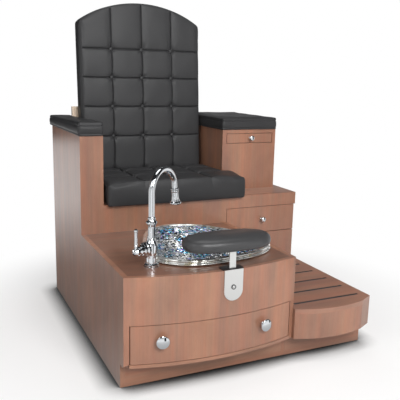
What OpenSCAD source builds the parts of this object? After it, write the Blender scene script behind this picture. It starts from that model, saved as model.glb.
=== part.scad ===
// Pedicure spa chair: a laminate cabinet with a bowed foot platform, a glass foot bowl with its
// faucet and drain, a lift-off footrest, a side step, a tufted seat and back, two arm boxes,
// two drawers and a pull-out tray.
//
// Bench frame used by every module: X = 0 is the cabinet's left outer face, Y = 0 the front of the
// plinth (the sitter faces -Y) and Z = 0 the floor. in_frame() moves it to the part's own origin,
// at the middle of its footprint on the floor. All sizes are in millimetres.

/* [Cabinet] */
// Overall width of the cabinet at the seat deck
cabinet_w = 1008; // [1004:1:1012]
// Depth from the plinth's front to the back
cabinet_d = 1046; // [1042:1:1050]
// Thickness of the laminate boards
board = 18; // [17:0.5:18.5]
// Height of the plinth
plinth_h = 87; // [80:1:90]
// How far the platform's corners stand out in front of the plinth
toe_kick = 40; // [36:1:44]

/* [Foot platform] */
// Width of the foot platform
platform_w = 650; // [646:1:654]
// Height of the platform's top
platform_h = 400; // [398:1:404]
// How far the bowed front bulges past its corners
bow = 50; // [44:1:54]
// Distance from the plinth's front to the seat box
seat_front_y = 513; // [510:1:516]

/* [Seat box and arms] */
// Height of the seat deck
seat_h = 515; // [513:1:518]
// Height of the arm boxes
arm_h = 794; // [790:1:798]
// Width of the left arm box
left_arm_w = 93; // [91:1:94]
// Inner face of the right arm box
right_arm_x = 695; // [694:1:698]
// Width of the right arm box
right_arm_w = 280; // [276:1:282]
// How far the right arm box stands behind the seat box's front
right_arm_setback = 148; // [146:1:152]

/* [Step] */
// Height of the step
step_h = 203; // [200:1:206]
// Radius of the step's curved front
step_r = 411; // [409:1:414]
// Number of tread strips
tread_count = 5; // [3:1:5]
// Width of one tread strip
tread_w = 14; // [10:1:18]

/* [Cushions] */
// Height of the arch at the top of the back cushion
back_top = 1348; // [1330:2:1360]
// Height of the back cushion's corners
back_corner = 1260; // [1250:2:1266]
// Thickness of the back cushion
back_t = 89; // [84:1:92]
// How far the back leans, in mm per mm of height
lean = 0.08; // [0.06:0.01:0.09]
// Height of the seat cushion's top edge
seat_top = 602; // [596:1:606]
// Depth of the sewn creases
crease = 9; // [5:1:11]
// Thickness of an arm cushion at its edge
arm_pad_t = 54; // [48:1:58]

/* [Bowl and drain] */
// Mean radius of the bowl's lip
bowl_r = 247; // [243:1:248]
// How far the three lobes stand out
bowl_lobe = 24; // [10:1:26]
// Height of the bowl's lip above the platform
lip_h = 24; // [20:1:26]
// Depth of the bowl below the platform
bowl_depth = 148; // [140:1:150]
// Radius of the drain tailpiece
tailpiece_r = 19.05; // [16:0.05:19.5]

/* [Faucet] */
// Height of the straight riser's end above the platform
riser_h = 250; // [244:1:256]
// Radius of the gooseneck's bend
neck_r = 71; // [68:1:74]
// Radius of the gooseneck tube
tube_r = 10.5; // [10.3:0.1:11]
// Direction in which the spout points, in degrees from +X
spout_turn = 36; // [20:1:60]
// Direction in which the handle points, in degrees from +X
handle_turn = 205; // [180:1:220]

/* [Footrest] */
// Length of the footrest pad
pad_l = 322; // [304:1:326]
// Depth of the footrest pad
pad_d = 150; // [140:1:152]
// Thickness of the footrest pad
pad_t = 50; // [44:1:52]
// Height of the pad's underside above the platform
pad_rise = 66; // [60:1:68]

/* [Drawers] */
// Gap round a drawer face
reveal = 3; // [2:0.5:3]
// Radius of the front drawer's disc knobs
disc_knob_r = 22.5; // [18:0.5:24]
// Diameter of the small knobs
small_knob_d = 24; // [20:1:26]

/* [Hidden] */

wood = "#A57D69";
wood_inside = "#C9B39C";
vinyl = "#3E3E40";
chrome = "#D8DCE0";
steel = "#B9BDC1";
black = "#1E1E1E";
fine = 96;
eps = 0.01;

// The cabinet's standing boards
back_y = cabinet_d - board;
side_drawer_x = platform_w + 2;
right_panel_x = cabinet_w - 7 - board;
right_arm_y = seat_front_y + right_arm_setback;
right_arm_x1 = right_arm_x + right_arm_w;
deck_y = seat_front_y + board;
toe_corner_r = 22;
deck_edge_z = seat_h - 55;

// The bowed front is an arc over the platform's whole width
bow_r = (pow(platform_w / 2, 2) + bow * bow) / (2 * bow);
bow_cx = platform_w / 2;
bow_cy = bow_r - bow - toe_kick;
bow_fn = 360;
function bow_y(x, inset = 0) = bow_cy - sqrt(pow(bow_r - inset, 2) - pow(x - bow_cx, 2));

// The fascia stops above the front drawer
fascia_z = 236;
drawer_top_z = fascia_z - 2;
drawer_bottom_z = 101;
floor_t = 12;

// Step: the arc's middle, the end of its straight run, and the tread strips
step_cx = 820;
step_peak = 91;
step_turn = [945, -72];
step_corner_y = -39;
tread_y0 = -5;
tread_pitch = 101.5;
tread_x0 = 676;
tread_x1 = 975;
tread_d = 4;
tread_sunk = 1.2;

// Back cushion
back_x0 = 106;
back_x1 = 680;
back_foot_y = 867 - (seat_top - seat_h) * lean;
back_angle = atan(lean);
back_cuts = [247, 391, 536];
back_rows = [620, 749, 883, 1013, 1139];
buttoned_rows = [1, 2, 3, 4];
button_r = 9;
back_rise = 4;
back_mid = (back_x0 + back_x1) / 2;
backboard_h = 370;
shoulder_x = 79;
shoulder_y = [971, 996];
shoulder_play = 2;
arch_rise = back_top - back_corner;
arch_r = (pow((back_x1 - back_x0) / 2, 2) + arch_rise * arch_rise) / (2 * arch_rise);

// Seat cushion
seat_x0 = left_arm_w + 4;
seat_x1 = 728;
seat_y0 = seat_front_y - 25;
seat_y1 = 852;
seat_cuts = [262, 412, 562];
seat_rows = [668];
seat_notch_y = right_arm_y - 11;
seat_rise = 10;

// Bowl
bowl_x = 382;
bowl_y = 210;
bowl_steps = 64;
drain_hole_r = 24;
bowl_floor_z = platform_h - bowl_depth;

// Drain
flange_r = 34;
throat_r = 21;
stopper_r = 17.5;
pipe_end_z = 130;
floor_hole_r = 35;

// Faucet
faucet_x = 126;
faucet_y = 46;
faucet_hole_r = 17.5;
shank_r = 17;
swivel_z = platform_h + 149;
spigot_r = 7.5;
running = 0.05;
tube_wall = 1.6;
hub_z = platform_h + 63;
hub_joint = 38;
lever_at = 72;
lever_pin_r = 2;
neck_sweep = 172;
neck_straight = 19;
neck_plug = 0.7;
dock_l = 6;
hose_r = 5;
hose_stub = 40;
inlet_r = 7.15;
inlet_gap = 18;
inlet_z = platform_h - 138;
shank_z = platform_h - 75;

// Footrest
strap_x = 370;
strap_w = 24;
strap_t = 6;
strap_y = bow_y(strap_x) + 12;
pad_x = 365;
pad_y = -42;
pad_z = platform_h + pad_rise;
sleeve_z = platform_h - 75;
sleeve_wall = 3;
sleeve_play = 0.5;
plate_w = 72;
plate_t = 3;
plate_end_z = platform_h - 72;
plate_screw_z = platform_h - 60;
strap_gap = 0.3;
strap_bend = 10;

// Drawers
slide_h = 45;
slide_w = 12.7;
slide_wall = 1.4;
runner_t = 5;
front_box_y1 = 150;
front_box_z0 = 110;
front_box_z1 = 215;
side_face_z0 = 341;
side_face_z1 = deck_edge_z - 2;
side_box_x0 = platform_w + slide_w;
side_box_x1 = right_panel_x - slide_w;
side_box_y1 = 900;
side_box_z0 = 352;
side_box_z1 = 445;
box_wall = 12;
tray_z0 = 733;
tray_z1 = 775;
tray_y1 = 960;
tray_board_z = 738;
tray_board_t = 9;
tray_guide_d = 10;
tray_rim_z = 768;
tray_rim_w = 10;
tray_play = 0.4;

// The part's origin is the middle of its bounding box, on the floor
arm_pad_over = 6;
arm_pad_back = 36;
origin_x = (cabinet_w - arm_pad_over) / 2;
origin_y = (pad_y - pad_d / 2 + cabinet_d + arm_pad_back) / 2;

module in_frame() translate([-origin_x, -origin_y, 0]) children();

// ---- Shared shapes ----

// A box from one corner to the opposite one
module slab(a, b) translate(a) cube(b - a);

// A profile of [y, z] points pushed out along X from x0 to x1
module along_x(x0, x1) translate([x0, 0, 0]) rotate([90, 0, 90]) linear_extrude(x1 - x0) children();

// A profile of [x, z] points pushed out along Y from y0 to y1
module along_y(y0, y1) translate([0, y1, 0]) rotate([90, 0, 0]) linear_extrude(y1 - y0) children();

// The upright cylinder of which the bowed front is a part, drawn in by inset
module bow_cylinder(z0, z1, inset = 0) translate([bow_cx, bow_cy, z0])
    cylinder(r = bow_r - inset, h = z1 - z0, $fn = bow_fn);

// A bowed board of the given thickness, inset from the platform's front
module bowed_board(x0, x1, z0, z1, inset, t) intersection() {
    difference() {
        bow_cylinder(z0, z1, inset);
        bow_cylinder(z0 - 1, z1 + 1, inset + t);
    }
    slab([x0, -bow - toe_kick - 5, z0], [x1, 60, z1]);
}

// A frame on the bowed front's face at (x, z), with +Z pointing straight out of it
module on_front(x, z) translate([x, bow_y(x), z]) rotate([90, 0, asin((x - bow_cx) / bow_r)])
    children();

// A solid from rings of points; the ends are closed flat, or joined to each other
module loft(rings, joined = false) {
    n = len(rings[0]);
    m = len(rings);
    spans = joined ? m : m - 1;
    sides = [for (j = [0:spans - 1], i = [0:n - 1]) let (
        a = j * n + i, b = j * n + (i + 1) % n,
        c = ((j + 1) % m) * n + (i + 1) % n, d = ((j + 1) % m) * n + i)
        each [[a, c, b], [a, d, c]]];
    mid = function (ring) [for (k = [0:2]) [for (p = ring) p[k]] * [for (p = ring) 1 / n]];
    caps = joined ? [] : [for (i = [0:n - 1])
        each [[n * m, i, (i + 1) % n], [n * m + 1, (m - 1) * n + (i + 1) % n, (m - 1) * n + i]]];
    ends = joined ? [] : [mid(rings[0]), mid(rings[m - 1])];
    polyhedron([for (r = rings) each r, each ends], concat(sides, caps));
}

// A superellipse outline of n points; power 2 is an ellipse, more is squarer
function oval(w, d, power, n) = [for (i = [0:n - 1]) let (c = cos(i * 360 / n), s = sin(i * 360 / n))
    [w / 2 * sign(c) * pow(abs(c), 2 / power), d / 2 * sign(s) * pow(abs(s), 2 / power)]];

// Grid lines across a quilted face: each crease, the shoulders beside it and the middle between
function quilt_lines(cuts, shoulder, between) = [for (i = [0:len(cuts) - 2])
    let (a = cuts[i], b = cuts[i + 1])
    each [a, a + shoulder, for (part = between) a + (b - a) * part, b - shoulder],
    cuts[len(cuts) - 1]];

// The same lines with two more close together, where an outline steps in
function with_step(lines, at) = at == undef ? lines :
    [for (v = lines) if (v < at) v, at, at + 3, for (v = lines) if (v > at + 3) v];

// 1 on an inner crease, falling to 0 at its shoulders
function in_crease(t, cuts, shoulder) = len(cuts) < 3 ? 0 :
    max([for (i = [1:len(cuts) - 2]) max(0, 1 - abs(t - cuts[i]) / shoulder)]);

// 0 on every cut, rising to 1 halfway between two cuts
function pillow(t, cuts) = max([for (i = [0:len(cuts) - 2])
    t < cuts[i] || t > cuts[i + 1] ? 0 : sin(180 * (t - cuts[i]) / (cuts[i + 1] - cuts[i]))]);

// A cushion lying on z = 0: creased and crowned on top, its sides drawn in between two seams.
// xs and ys are its outer edges with the creases between them, and place is a function that moves
// a point of that rectangle to its place in the real outline.
module cushion(xs, ys, t, rise, groove, roll, place, step_at = undef) {
    shoulder = 14;
    gx = quilt_lines(xs, shoulder, [0.3, 0.5, 0.7]);
    gy = with_step(quilt_lines(ys, shoulder, [0.5]), step_at);
    nx = len(gx);
    ny = len(gy);
    height = function (x, y) t - roll * 0.4 + rise * sqrt(pillow(x, xs) * pillow(y, ys))
        - groove * max(in_crease(x, xs, shoulder), in_crease(y, ys, shoulder))
        - groove * 0.8 * in_crease(x, xs, shoulder) * in_crease(y, ys, shoulder);
    edge = function (i, j) i == 0 || i == nx - 1 || j == 0 || j == ny - 1;
    face = [for (j = [0:ny - 1], i = [0:nx - 1]) let (p = place([gx[i], gy[j]]))
        [p.x, p.y, edge(i, j) ? t - roll * 1.2 : height(gx[i], gy[j])]];
    rim = [for (i = [0:nx - 1]) [i, 0], for (j = [1:ny - 1]) [nx - 1, j],
        for (i = [nx - 2:-1:0]) [i, ny - 1], for (j = [ny - 2:-1:1]) [0, j]];
    n = len(rim);
    cx = (xs[0] + xs[len(xs) - 1]) / 2;
    cy = (ys[0] + ys[len(ys) - 1]) / 2;
    // [distance drawn in, height] of the rings down the side
    side_rings = [[4, t * 0.5], [0.5, 8], [3, 0]];
    sides = [for (s = side_rings, r = rim) let (p = place([gx[r.x], gy[r.y]]))
        [p.x + (p.x < cx ? s[0] : -s[0]), p.y + (p.y < cy ? s[0] : -s[0]), s[1]]];
    top = [for (j = [0:ny - 2], i = [0:nx - 2]) let (a = j * nx + i)
        each [[a, a + nx, a + nx + 1], [a, a + nx + 1, a + 1]]];
    at = function (k, i) k == 0 ? rim[i % n].y * nx + rim[i % n].x : nx * ny + (k - 1) * n + i % n;
    walls = [for (k = [0:len(side_rings) - 1], i = [0:n - 1])
        each [[at(k, i), at(k, i + 1), at(k + 1, i + 1)], [at(k, i), at(k + 1, i + 1), at(k + 1, i)]]];
    last = len(side_rings);
    hub = nx * ny + last * n;
    foot = [for (i = [0:n - 1]) [hub, at(last, i), at(last, i + 1)]];
    polyhedron([each face, each sides, [cx, cy, 0]], concat(top, walls, foot));
}

// ---- Cabinet boards ----

// Left side: one board with the low platform end, the tall arm end and a rounded toe-kick corner
module left_side_panel() color(wood) intersection() {
    along_x(0, board) difference() {
        polygon([[0, 0], [cabinet_d, 0], [cabinet_d, arm_h], [seat_front_y, arm_h],
            [seat_front_y, platform_h], [-toe_kick - 20, platform_h],
            [-toe_kick - 20, plinth_h], [0, plinth_h]]);
        difference() {
            translate([-toe_kick - 21, plinth_h - 1]) square([toe_corner_r + 16, toe_corner_r + 1]);
            translate([-toe_kick - 5 + toe_corner_r, plinth_h + toe_corner_r])
                circle(r = toe_corner_r, $fn = fine);
        }
    }
    union() {
        bow_cylinder(-1, arm_h + 1);
        slab([-1, seat_front_y - 5, -1], [board + 1, cabinet_d + 1, arm_h + 1]);
    }
}

module divider_panel() color(wood) intersection() {
    along_x(platform_w - board, platform_w)
        polygon([[0, 0], [back_y, 0], [back_y, seat_h - board], [deck_y, seat_h - board],
            [deck_y, platform_h], [-toe_kick - 20, platform_h],
            [-toe_kick - 20, plinth_h], [0, plinth_h]]);
    union() {
        bow_cylinder(-1, seat_h);
        slab([0, seat_front_y - 5, -1], [cabinet_w, cabinet_d, seat_h]);
    }
}

module right_side_panel() color(wood)
    slab([right_panel_x, deck_y, 0], [right_panel_x + board, cabinet_d, seat_h - board]);

// Back: one board that rises behind both arm boxes, with a service opening for the plumbing
module rear_panel() color(wood) along_y(back_y, cabinet_d) difference() {
    polygon([[board, 0], [right_panel_x, 0], [right_panel_x, seat_h], [right_arm_x1, seat_h],
        [right_arm_x1, arm_h], [right_arm_x, arm_h], [right_arm_x, seat_h], [left_arm_w, seat_h],
        [left_arm_w, arm_h], [board, arm_h]]);
    translate([250, 40]) square([300, 200]);
}

module floor_panel() color(wood) difference() {
    intersection() {
        bow_cylinder(plinth_h, plinth_h + floor_t);
        slab([board, -bow - toe_kick - 5, plinth_h],
            [platform_w - board, seat_front_y, plinth_h + floor_t]);
    }
    translate([bowl_x, bowl_y, 0]) cylinder(r = floor_hole_r, h = plinth_h + 50, $fn = fine);
}

module plinth_front() color(wood)
    slab([board, 0, 0], [platform_w - board, board, plinth_h]);

// Bowl outline: a circle with three lobes; inset draws it in
function bowl_reach(a) = bowl_r + bowl_lobe * cos(3 * (a + 22)) + 5 * cos(2 * (a - 90));
function bowl_outline(inset) = [for (i = [0:bowl_steps - 1]) let (a = i * 360 / bowl_steps)
    [bowl_x, bowl_y] + (bowl_reach(a) - inset) * [cos(a), sin(a)]];

module platform_top() color(wood) difference() {
    intersection() {
        bow_cylinder(platform_h - board, platform_h, board);
        slab([board, -bow - toe_kick, platform_h - board],
            [platform_w - board, deck_y, platform_h]);
    }
    translate([0, 0, platform_h - board - 1]) linear_extrude(board + 2)
        polygon(bowl_outline(21));
    translate([faucet_x, faucet_y, platform_h - board - 1])
        cylinder(r = faucet_hole_r, h = board + 2, $fn = fine);
    sleeve_pocket();
}

// Room for the footrest's sleeve behind the fascia's front face
module sleeve_pocket() slab(
    [strap_x - strap_w / 2 - sleeve_wall - 1, strap_y - strap_t / 2 - sleeve_wall - 1, sleeve_z - 1],
    [strap_x + strap_w / 2 + sleeve_wall + 1, strap_y + strap_t / 2 + sleeve_wall + 1, platform_h + 1]);

module front_fascia() color(wood) difference() {
    bowed_board(board, platform_w - board, fascia_z, platform_h, 0, board);
    sleeve_pocket();
}

// Board below the seat, which turns into the deep edge over the side drawer
module seat_front_panel() color(wood) along_y(seat_front_y, deck_y)
    polygon([[left_arm_w, platform_h], [platform_w, platform_h], [platform_w, deck_edge_z],
        [cabinet_w, deck_edge_z], [cabinet_w, seat_h], [left_arm_w, seat_h]]);

module side_lower_panel() color(wood)
    slab([platform_w, seat_front_y, 0], [right_panel_x + board, deck_y, side_face_z0 - reveal]);

// Seat deck, with the built-up strip along its right edge
module seat_deck() color(wood) union() {
    translate([0, 0, seat_h - board]) linear_extrude(board)
        polygon([[board, deck_y], [cabinet_w, deck_y], [cabinet_w, cabinet_d],
            [right_panel_x, cabinet_d], [right_panel_x, back_y], [board, back_y]]);
    slab([right_panel_x + board, deck_y, deck_edge_z], [cabinet_w, cabinet_d, seat_h - board + eps]);
}

module left_arm_front() color(wood)
    slab([board, seat_front_y, platform_h], [left_arm_w, deck_y, arm_h]);

module left_arm_inner_panel() color(wood)
    slab([left_arm_w - board, deck_y, seat_h], [left_arm_w, back_y, arm_h]);

// Front of the right arm box, open for the tray
module right_arm_front() color(wood) along_y(right_arm_y, right_arm_y + board) difference() {
    translate([right_arm_x, seat_h]) square([right_arm_w, arm_h - seat_h]);
    translate([right_arm_x + 20, tray_z0 - 2])
        square([right_arm_w - 37, tray_z1 - tray_z0 + 4]);
}

module right_arm_inner_panel() color(wood)
    slab([right_arm_x, right_arm_y + board, seat_h], [right_arm_x + board, back_y, arm_h]);

module right_arm_outer_panel() color(wood)
    slab([right_arm_x1 - board, right_arm_y + board, seat_h], [right_arm_x1, back_y, arm_h]);

module right_arm_top() color(wood_inside)
    slab([right_arm_x + board, right_arm_y + board, arm_h - 12], [right_arm_x1 - board, back_y, arm_h]);

// The lower part of the back cushion's plane, as a frame: x across, y up the slope, z forward
module on_back(gap = 0) translate([0, back_foot_y + back_t + gap, seat_h])
    rotate([90 - back_angle, 0, 0]) children();

// The board behind the back cushion; its left shoulder stands on the arm box
module backboard() color(wood_inside) intersection() {
    on_back(0.5) translate([shoulder_x, -20, -board])
        cube([right_arm_x - 7 - shoulder_x, backboard_h + 20, board]);
    union() {
        slab([left_arm_w + 2, 0, seat_h], [cabinet_w, back_y, arm_h + 200]);
        slab([0, 0, arm_h + 0.1], [cabinet_w, back_y, arm_h + 200]);
    }
}

// ---- Step ----

// Plan of the step: an arc that turns into a short straight run at the outer corner
module step_plan(inset = 0) intersection() {
    translate([step_cx, step_r - step_peak]) circle(r = step_r - inset, $fn = bow_fn);
    polygon([[platform_w, -step_peak * 2], [step_turn.x, -step_peak * 2], step_turn + [0, inset],
        [cabinet_w, step_corner_y + inset], [cabinet_w, seat_front_y], [platform_w, seat_front_y]]);
}

module tread_bars(z0, z1) for (i = [0:tread_count - 1])
    translate([tread_x0, tread_y0 + i * tread_pitch - tread_w / 2, z0])
        cube([tread_x1 - tread_x0, tread_w, z1 - z0]);

module step_top() color(wood) difference() {
    translate([0, 0, step_h - board]) linear_extrude(board) step_plan();
    tread_bars(step_h - tread_d, step_h + 1);
}

module step_fascia() color(wood) translate([0, 0, plinth_h]) linear_extrude(step_h - board - plinth_h)
    intersection() {
        difference() {
            step_plan();
            step_plan(board);
        }
        translate([platform_w, -200]) square([cabinet_w - platform_w - board, 300]);
    }

module step_side_panel() color(wood)
    translate([0, 0, plinth_h]) linear_extrude(step_h - board - plinth_h) intersection() {
        step_plan();
        translate([cabinet_w - board, -200]) square([board, 200 + seat_front_y]);
    }

module step_plinth() color(wood) union() {
    slab([platform_w, 0, 0], [cabinet_w - 8, board, plinth_h]);
    slab([cabinet_w - 8 - board, board - eps, 0], [cabinet_w - 8, seat_front_y, plinth_h]);
}

module step_tread_strips() color(black) tread_bars(step_h - tread_d, step_h - tread_sunk);

// ---- Slides and guides ----

// A fixed C-channel whose open side faces +X when side is 1 and -X when side is -1
module channel(x, y0, y1, z, side) translate([x, y0, z]) rotate([-90, 0, 0])
    linear_extrude(y1 - y0) scale([side, -1]) polygon([
        [0, 0], [slide_w - 1, 0], [slide_w - 1, slide_wall], [slide_wall, slide_wall],
        [slide_wall, slide_h - slide_wall], [slide_w - 1, slide_h - slide_wall],
        [slide_w - 1, slide_h], [0, slide_h]]);

// The bar that runs in the channel, fixed to the drawer
module runner(x, y0, y1, z, side) translate([x, y0, z]) rotate([-90, 0, 0])
    linear_extrude(y1 - y0) scale([side, -1]) polygon([
        [slide_w - 1 - runner_t, slide_wall + 1.5], [slide_w, slide_wall + 1.5],
        [slide_w, slide_h - slide_wall - 1.5], [slide_w - 1 - runner_t, slide_h - slide_wall - 1.5]]);

front_slide_z = 140;
side_slide_z = 376;
front_slide_y0 = -20;
side_slide_y0 = deck_y + 4;

module drawer_slides() color(steel) {
    channel(board, front_slide_y0, front_box_y1, front_slide_z, 1);
    channel(platform_w - board, front_slide_y0, front_box_y1, front_slide_z, -1);
    channel(platform_w, side_slide_y0, side_box_y1, side_slide_z, 1);
    channel(right_panel_x, side_slide_y0, side_box_y1, side_slide_z, -1);
}

module front_drawer_runners() color(steel) {
    runner(board, front_slide_y0 + 2, front_box_y1 - 2, front_slide_z, 1);
    runner(platform_w - board, front_slide_y0 + 2, front_box_y1 - 2, front_slide_z, -1);
}

module side_drawer_runners() color(steel) {
    runner(platform_w, side_slide_y0 + 2, side_box_y1 - 2, side_slide_z, 1);
    runner(right_panel_x, side_slide_y0 + 2, side_box_y1 - 2, side_slide_z, -1);
}

// Grooved guides in which the tray board's edges run
module tray_guides() color(steel) for (side = [1, -1])
    translate([side == 1 ? right_arm_x + board : right_arm_x1 - board, 0, 0])
        along_y(right_arm_y + board, tray_y1 + 5) scale([side, 1]) polygon([
            [0, tray_board_z - 6], [tray_guide_d, tray_board_z - 6],
            [tray_guide_d, tray_board_z - tray_play], [4, tray_board_z - tray_play],
            [4, tray_board_z + tray_board_t + tray_play],
            [tray_guide_d, tray_board_z + tray_board_t + tray_play],
            [tray_guide_d, tray_board_z + tray_board_t + 6], [0, tray_board_z + tray_board_t + 6]]);

// ---- Drawers and tray ----

// An open-topped box of boards
module drawer_box(a, b, wall, bottom) difference() {
    slab(a, b);
    slab(a + [wall, wall, bottom], b + [-wall, -wall, 1]);
}

module front_drawer_face() color(wood)
    bowed_board(board + reveal, platform_w - board - reveal, drawer_bottom_z, drawer_top_z, 0, board);

// The front drawer's box follows the bow at its front
module front_drawer_box() color(wood_inside) {
    x0 = board + slide_w;
    x1 = platform_w - board - slide_w;
    difference() {
        intersection() {
            bow_cylinder(front_box_z0, front_box_z1, board);
            slab([x0, -bow - toe_kick, front_box_z0], [x1, front_box_y1, front_box_z1]);
        }
        intersection() {
            bow_cylinder(front_box_z0 + 8, front_box_z1 + 1, board + box_wall);
            slab([x0 + box_wall, -bow - toe_kick, front_box_z0 + 8],
                [x1 - box_wall, front_box_y1 - box_wall, front_box_z1 + 1]);
        }
    }
}

front_knob_x = [122, 502];
front_knob_z = 181;

// A disc knob on its stem; its axis is +Z here
module disc_knob() rotate_extrude($fn = fine) polygon([
    [0, 0], [8, 0], [8, 2], [5.5, 5], [5.5, 11], [9, 14], [disc_knob_r - 4, 16], [disc_knob_r, 19],
    [disc_knob_r, 22], [disc_knob_r - 2, 24], [disc_knob_r - 5, 24], [disc_knob_r - 7, 22.5],
    [10, 22.5], [6, 25], [0, 26]]);

module front_drawer_knobs() color(chrome) for (x = front_knob_x) on_front(x, front_knob_z) disc_knob();

module side_drawer_face() color(wood)
    slab([side_drawer_x, seat_front_y, side_face_z0], [right_panel_x + board, deck_y, side_face_z1]);

module side_drawer_box() color(wood_inside)
    drawer_box([side_box_x0, deck_y, side_box_z0], [side_box_x1, side_box_y1, side_box_z1], box_wall, 8);

// A small mushroom knob; its axis is +Z here
module small_knob() rotate_extrude($fn = fine) polygon([
    [0, 0], [7, 0], [7, 1.5], [4.5, 4], [4.5, 10], [8, 13], [small_knob_d / 2 - 1, 16],
    [small_knob_d / 2, 18.5], [small_knob_d / 2 - 1, 21], [8, 23], [0, 24]]);

module side_drawer_knob() color(chrome)
    translate([830, seat_front_y, 401]) rotate([90, 0, 0]) small_knob();

module arm_tray_face() color(wood)
    slab([right_arm_x + 22, right_arm_y, tray_z0], [right_arm_x1 - 20, right_arm_y + board, tray_z1]);

// Tray board with a low rim; its edges run in the guides
module arm_tray_board() color(wood_inside) {
    x0 = right_arm_x + board + 5;
    x1 = right_arm_x1 - board - 5;
    rim_x0 = right_arm_x + board + tray_guide_d + 2;
    rim_x1 = right_arm_x1 - board - tray_guide_d - 2;
    difference() {
        union() {
            slab([x0, right_arm_y + board, tray_board_z], [x1, tray_y1, tray_board_z + tray_board_t]);
            slab([rim_x0, right_arm_y + board, tray_board_z], [rim_x1, tray_y1, tray_rim_z]);
        }
        slab([rim_x0 + tray_rim_w, right_arm_y + board + tray_rim_w, tray_board_z + tray_board_t],
            [rim_x1 - tray_rim_w, tray_y1 - tray_rim_w, tray_rim_z + 1]);
    }
}

module arm_tray_knob() color(black)
    translate([839, right_arm_y, 755]) rotate([90, 0, 0]) small_knob();

// ---- Cushions ----

function arch_y(x) = back_top - arch_r + sqrt(arch_r * arch_r - pow(x - back_mid, 2));

// The top cell of the back cushion stretches up to the arch
function back_place(p) = let (z = p.y + seat_h, last = back_rows[len(back_rows) - 1],
    up = (z - last) / (back_corner - last))
    z <= last ? p : [p.x, last - seat_h + up * (arch_y(p.x) - last)];

module back_cushion() color(vinyl) on_back()
    cushion([back_x0, each back_cuts, back_x1],
        [2, each [for (z = back_rows) z - seat_h], back_corner - seat_h],
        back_t, back_rise, crease, 10, function (p) back_place(p));

// Covered buttons: tack-shaped, so that each sits in its dimple without cutting the cushion
module back_buttons() color(vinyl) on_back() for (x = back_cuts, r = buttoned_rows)
    translate([x, back_rows[r] - seat_h, back_t - crease * 1.8 - 3.6]) rotate_extrude($fn = 48)
        polygon([[0, 0], [button_r - 0.5, 7.2], [button_r, 8.2], [button_r - 1, 10.2], [5, 12],
            [0, 12.8]]);

// The seat's right end is cut back where the arm box stands
function seat_place(p) = let (last = seat_cuts[len(seat_cuts) - 1],
    end = p.y > seat_notch_y ? right_arm_x - 3 : seat_x1)
    p.x <= last ? p : [last + (p.x - last) * (end - last) / (seat_x1 - last), p.y];

module seat_cushion() color(vinyl) translate([0, 0, seat_h])
    cushion([seat_x0, each seat_cuts, seat_x1], [seat_y0, each seat_rows, seat_y1],
        seat_top - seat_h + 4, seat_rise, crease, 10, function (p) seat_place(p), seat_notch_y);

module arm_cushion(x0, x1, y0) color(vinyl) translate([0, 0, arm_h])
    cushion([x0, x1], [y0, cabinet_d + arm_pad_back], arm_pad_t, 6, 0, 6, function (p) p);

// The left pad is cut out round the backboard's shoulder
module left_arm_cushion() color(vinyl) difference() {
    arm_cushion(-arm_pad_over, left_arm_w + 1, seat_front_y - arm_pad_over - 1);
    slab([shoulder_x - shoulder_play, shoulder_y[0] - shoulder_play, arm_h - 1],
        [left_arm_w + 5, shoulder_y[1] + shoulder_play, arm_h + arm_pad_t * 2]);
}

module right_arm_cushion()
    arm_cushion(right_arm_x - 5, right_arm_x1 + 3, right_arm_y - arm_pad_over);

// ---- Bowl and drain ----

// [inset from the outline, height over the platform's top]: from the foot of the beaded lip over its
// top, down the inside to the drain and back up the outside
bowl_profile = [
    [4, 2], [0, 5], [3, 10], [5, 11.5], [2, 15], [4, 22], [9, 24], [16, 22], [24, 13],
    [31, 2], [36, -20], [46, -58], [72, -98], [112, -125], [160, -136], [223, -138.5],
    [223, -148], [160, -145], [110, -134], [64, -104], [38, -60], [28, -20], [24, 2]];

// The lobes fade into a circle towards the drain
function bowl_ring(inset, z) = [for (i = [0:bowl_steps - 1]) let (
    a = -i * 360 / bowl_steps, keep = 1 - pow(min(1, inset / 223), 1.5),
    r = bowl_r + (bowl_reach(a) - bowl_r) * keep - inset * (bowl_r - drain_hole_r) / (bowl_r - 24))
    [bowl_x + r * cos(a), bowl_y + r * sin(a),
        platform_h + (z > 0 ? z * lip_h / 24 : z * bowl_depth / 148)]];

module bowl() color("#9FC4CF")
    loft([for (p = bowl_profile) bowl_ring(p[0], p[1])], joined = true);

module bowl_gasket() color(black) translate([0, 0, platform_h]) linear_extrude(2) difference() {
    polygon(bowl_outline(6));
    polygon(bowl_outline(20));
}

// Strainer flange in the bowl's floor, with the throat that goes down through it
module drain_flange() color(chrome) translate([bowl_x, bowl_y, 0]) rotate_extrude($fn = fine) polygon([
    [stopper_r + 0.5, bowl_floor_z - 27], [throat_r, bowl_floor_z - 27],
    [throat_r, bowl_floor_z + 10], [flange_r, bowl_floor_z + 10], [flange_r, bowl_floor_z + 11.5],
    [flange_r - 3, bowl_floor_z + 13], [stopper_r + 3, bowl_floor_z + 13],
    [stopper_r + 0.5, bowl_floor_z + 8]]);

// Tailpiece with its slip nut, open above the floor board's hole
module tailpiece() color(chrome) translate([bowl_x, bowl_y, 0]) difference() {
    union() {
        translate([0, 0, pipe_end_z])
            cylinder(r = tailpiece_r, h = bowl_floor_z - 27 - pipe_end_z, $fn = fine);
        translate([0, 0, bowl_floor_z - 24]) cylinder(r = 27, h = 18, $fn = 6);
        translate([0, 0, bowl_floor_z - 45]) cylinder(r = 24, h = 22, $fn = fine);
    }
    translate([0, 0, pipe_end_z - 1]) cylinder(r = tailpiece_r - 1.5, h = 300, $fn = fine);
    translate([0, 0, bowl_floor_z - 27]) cylinder(r = throat_r + 0.2, h = 60, $fn = fine);
}

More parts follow.
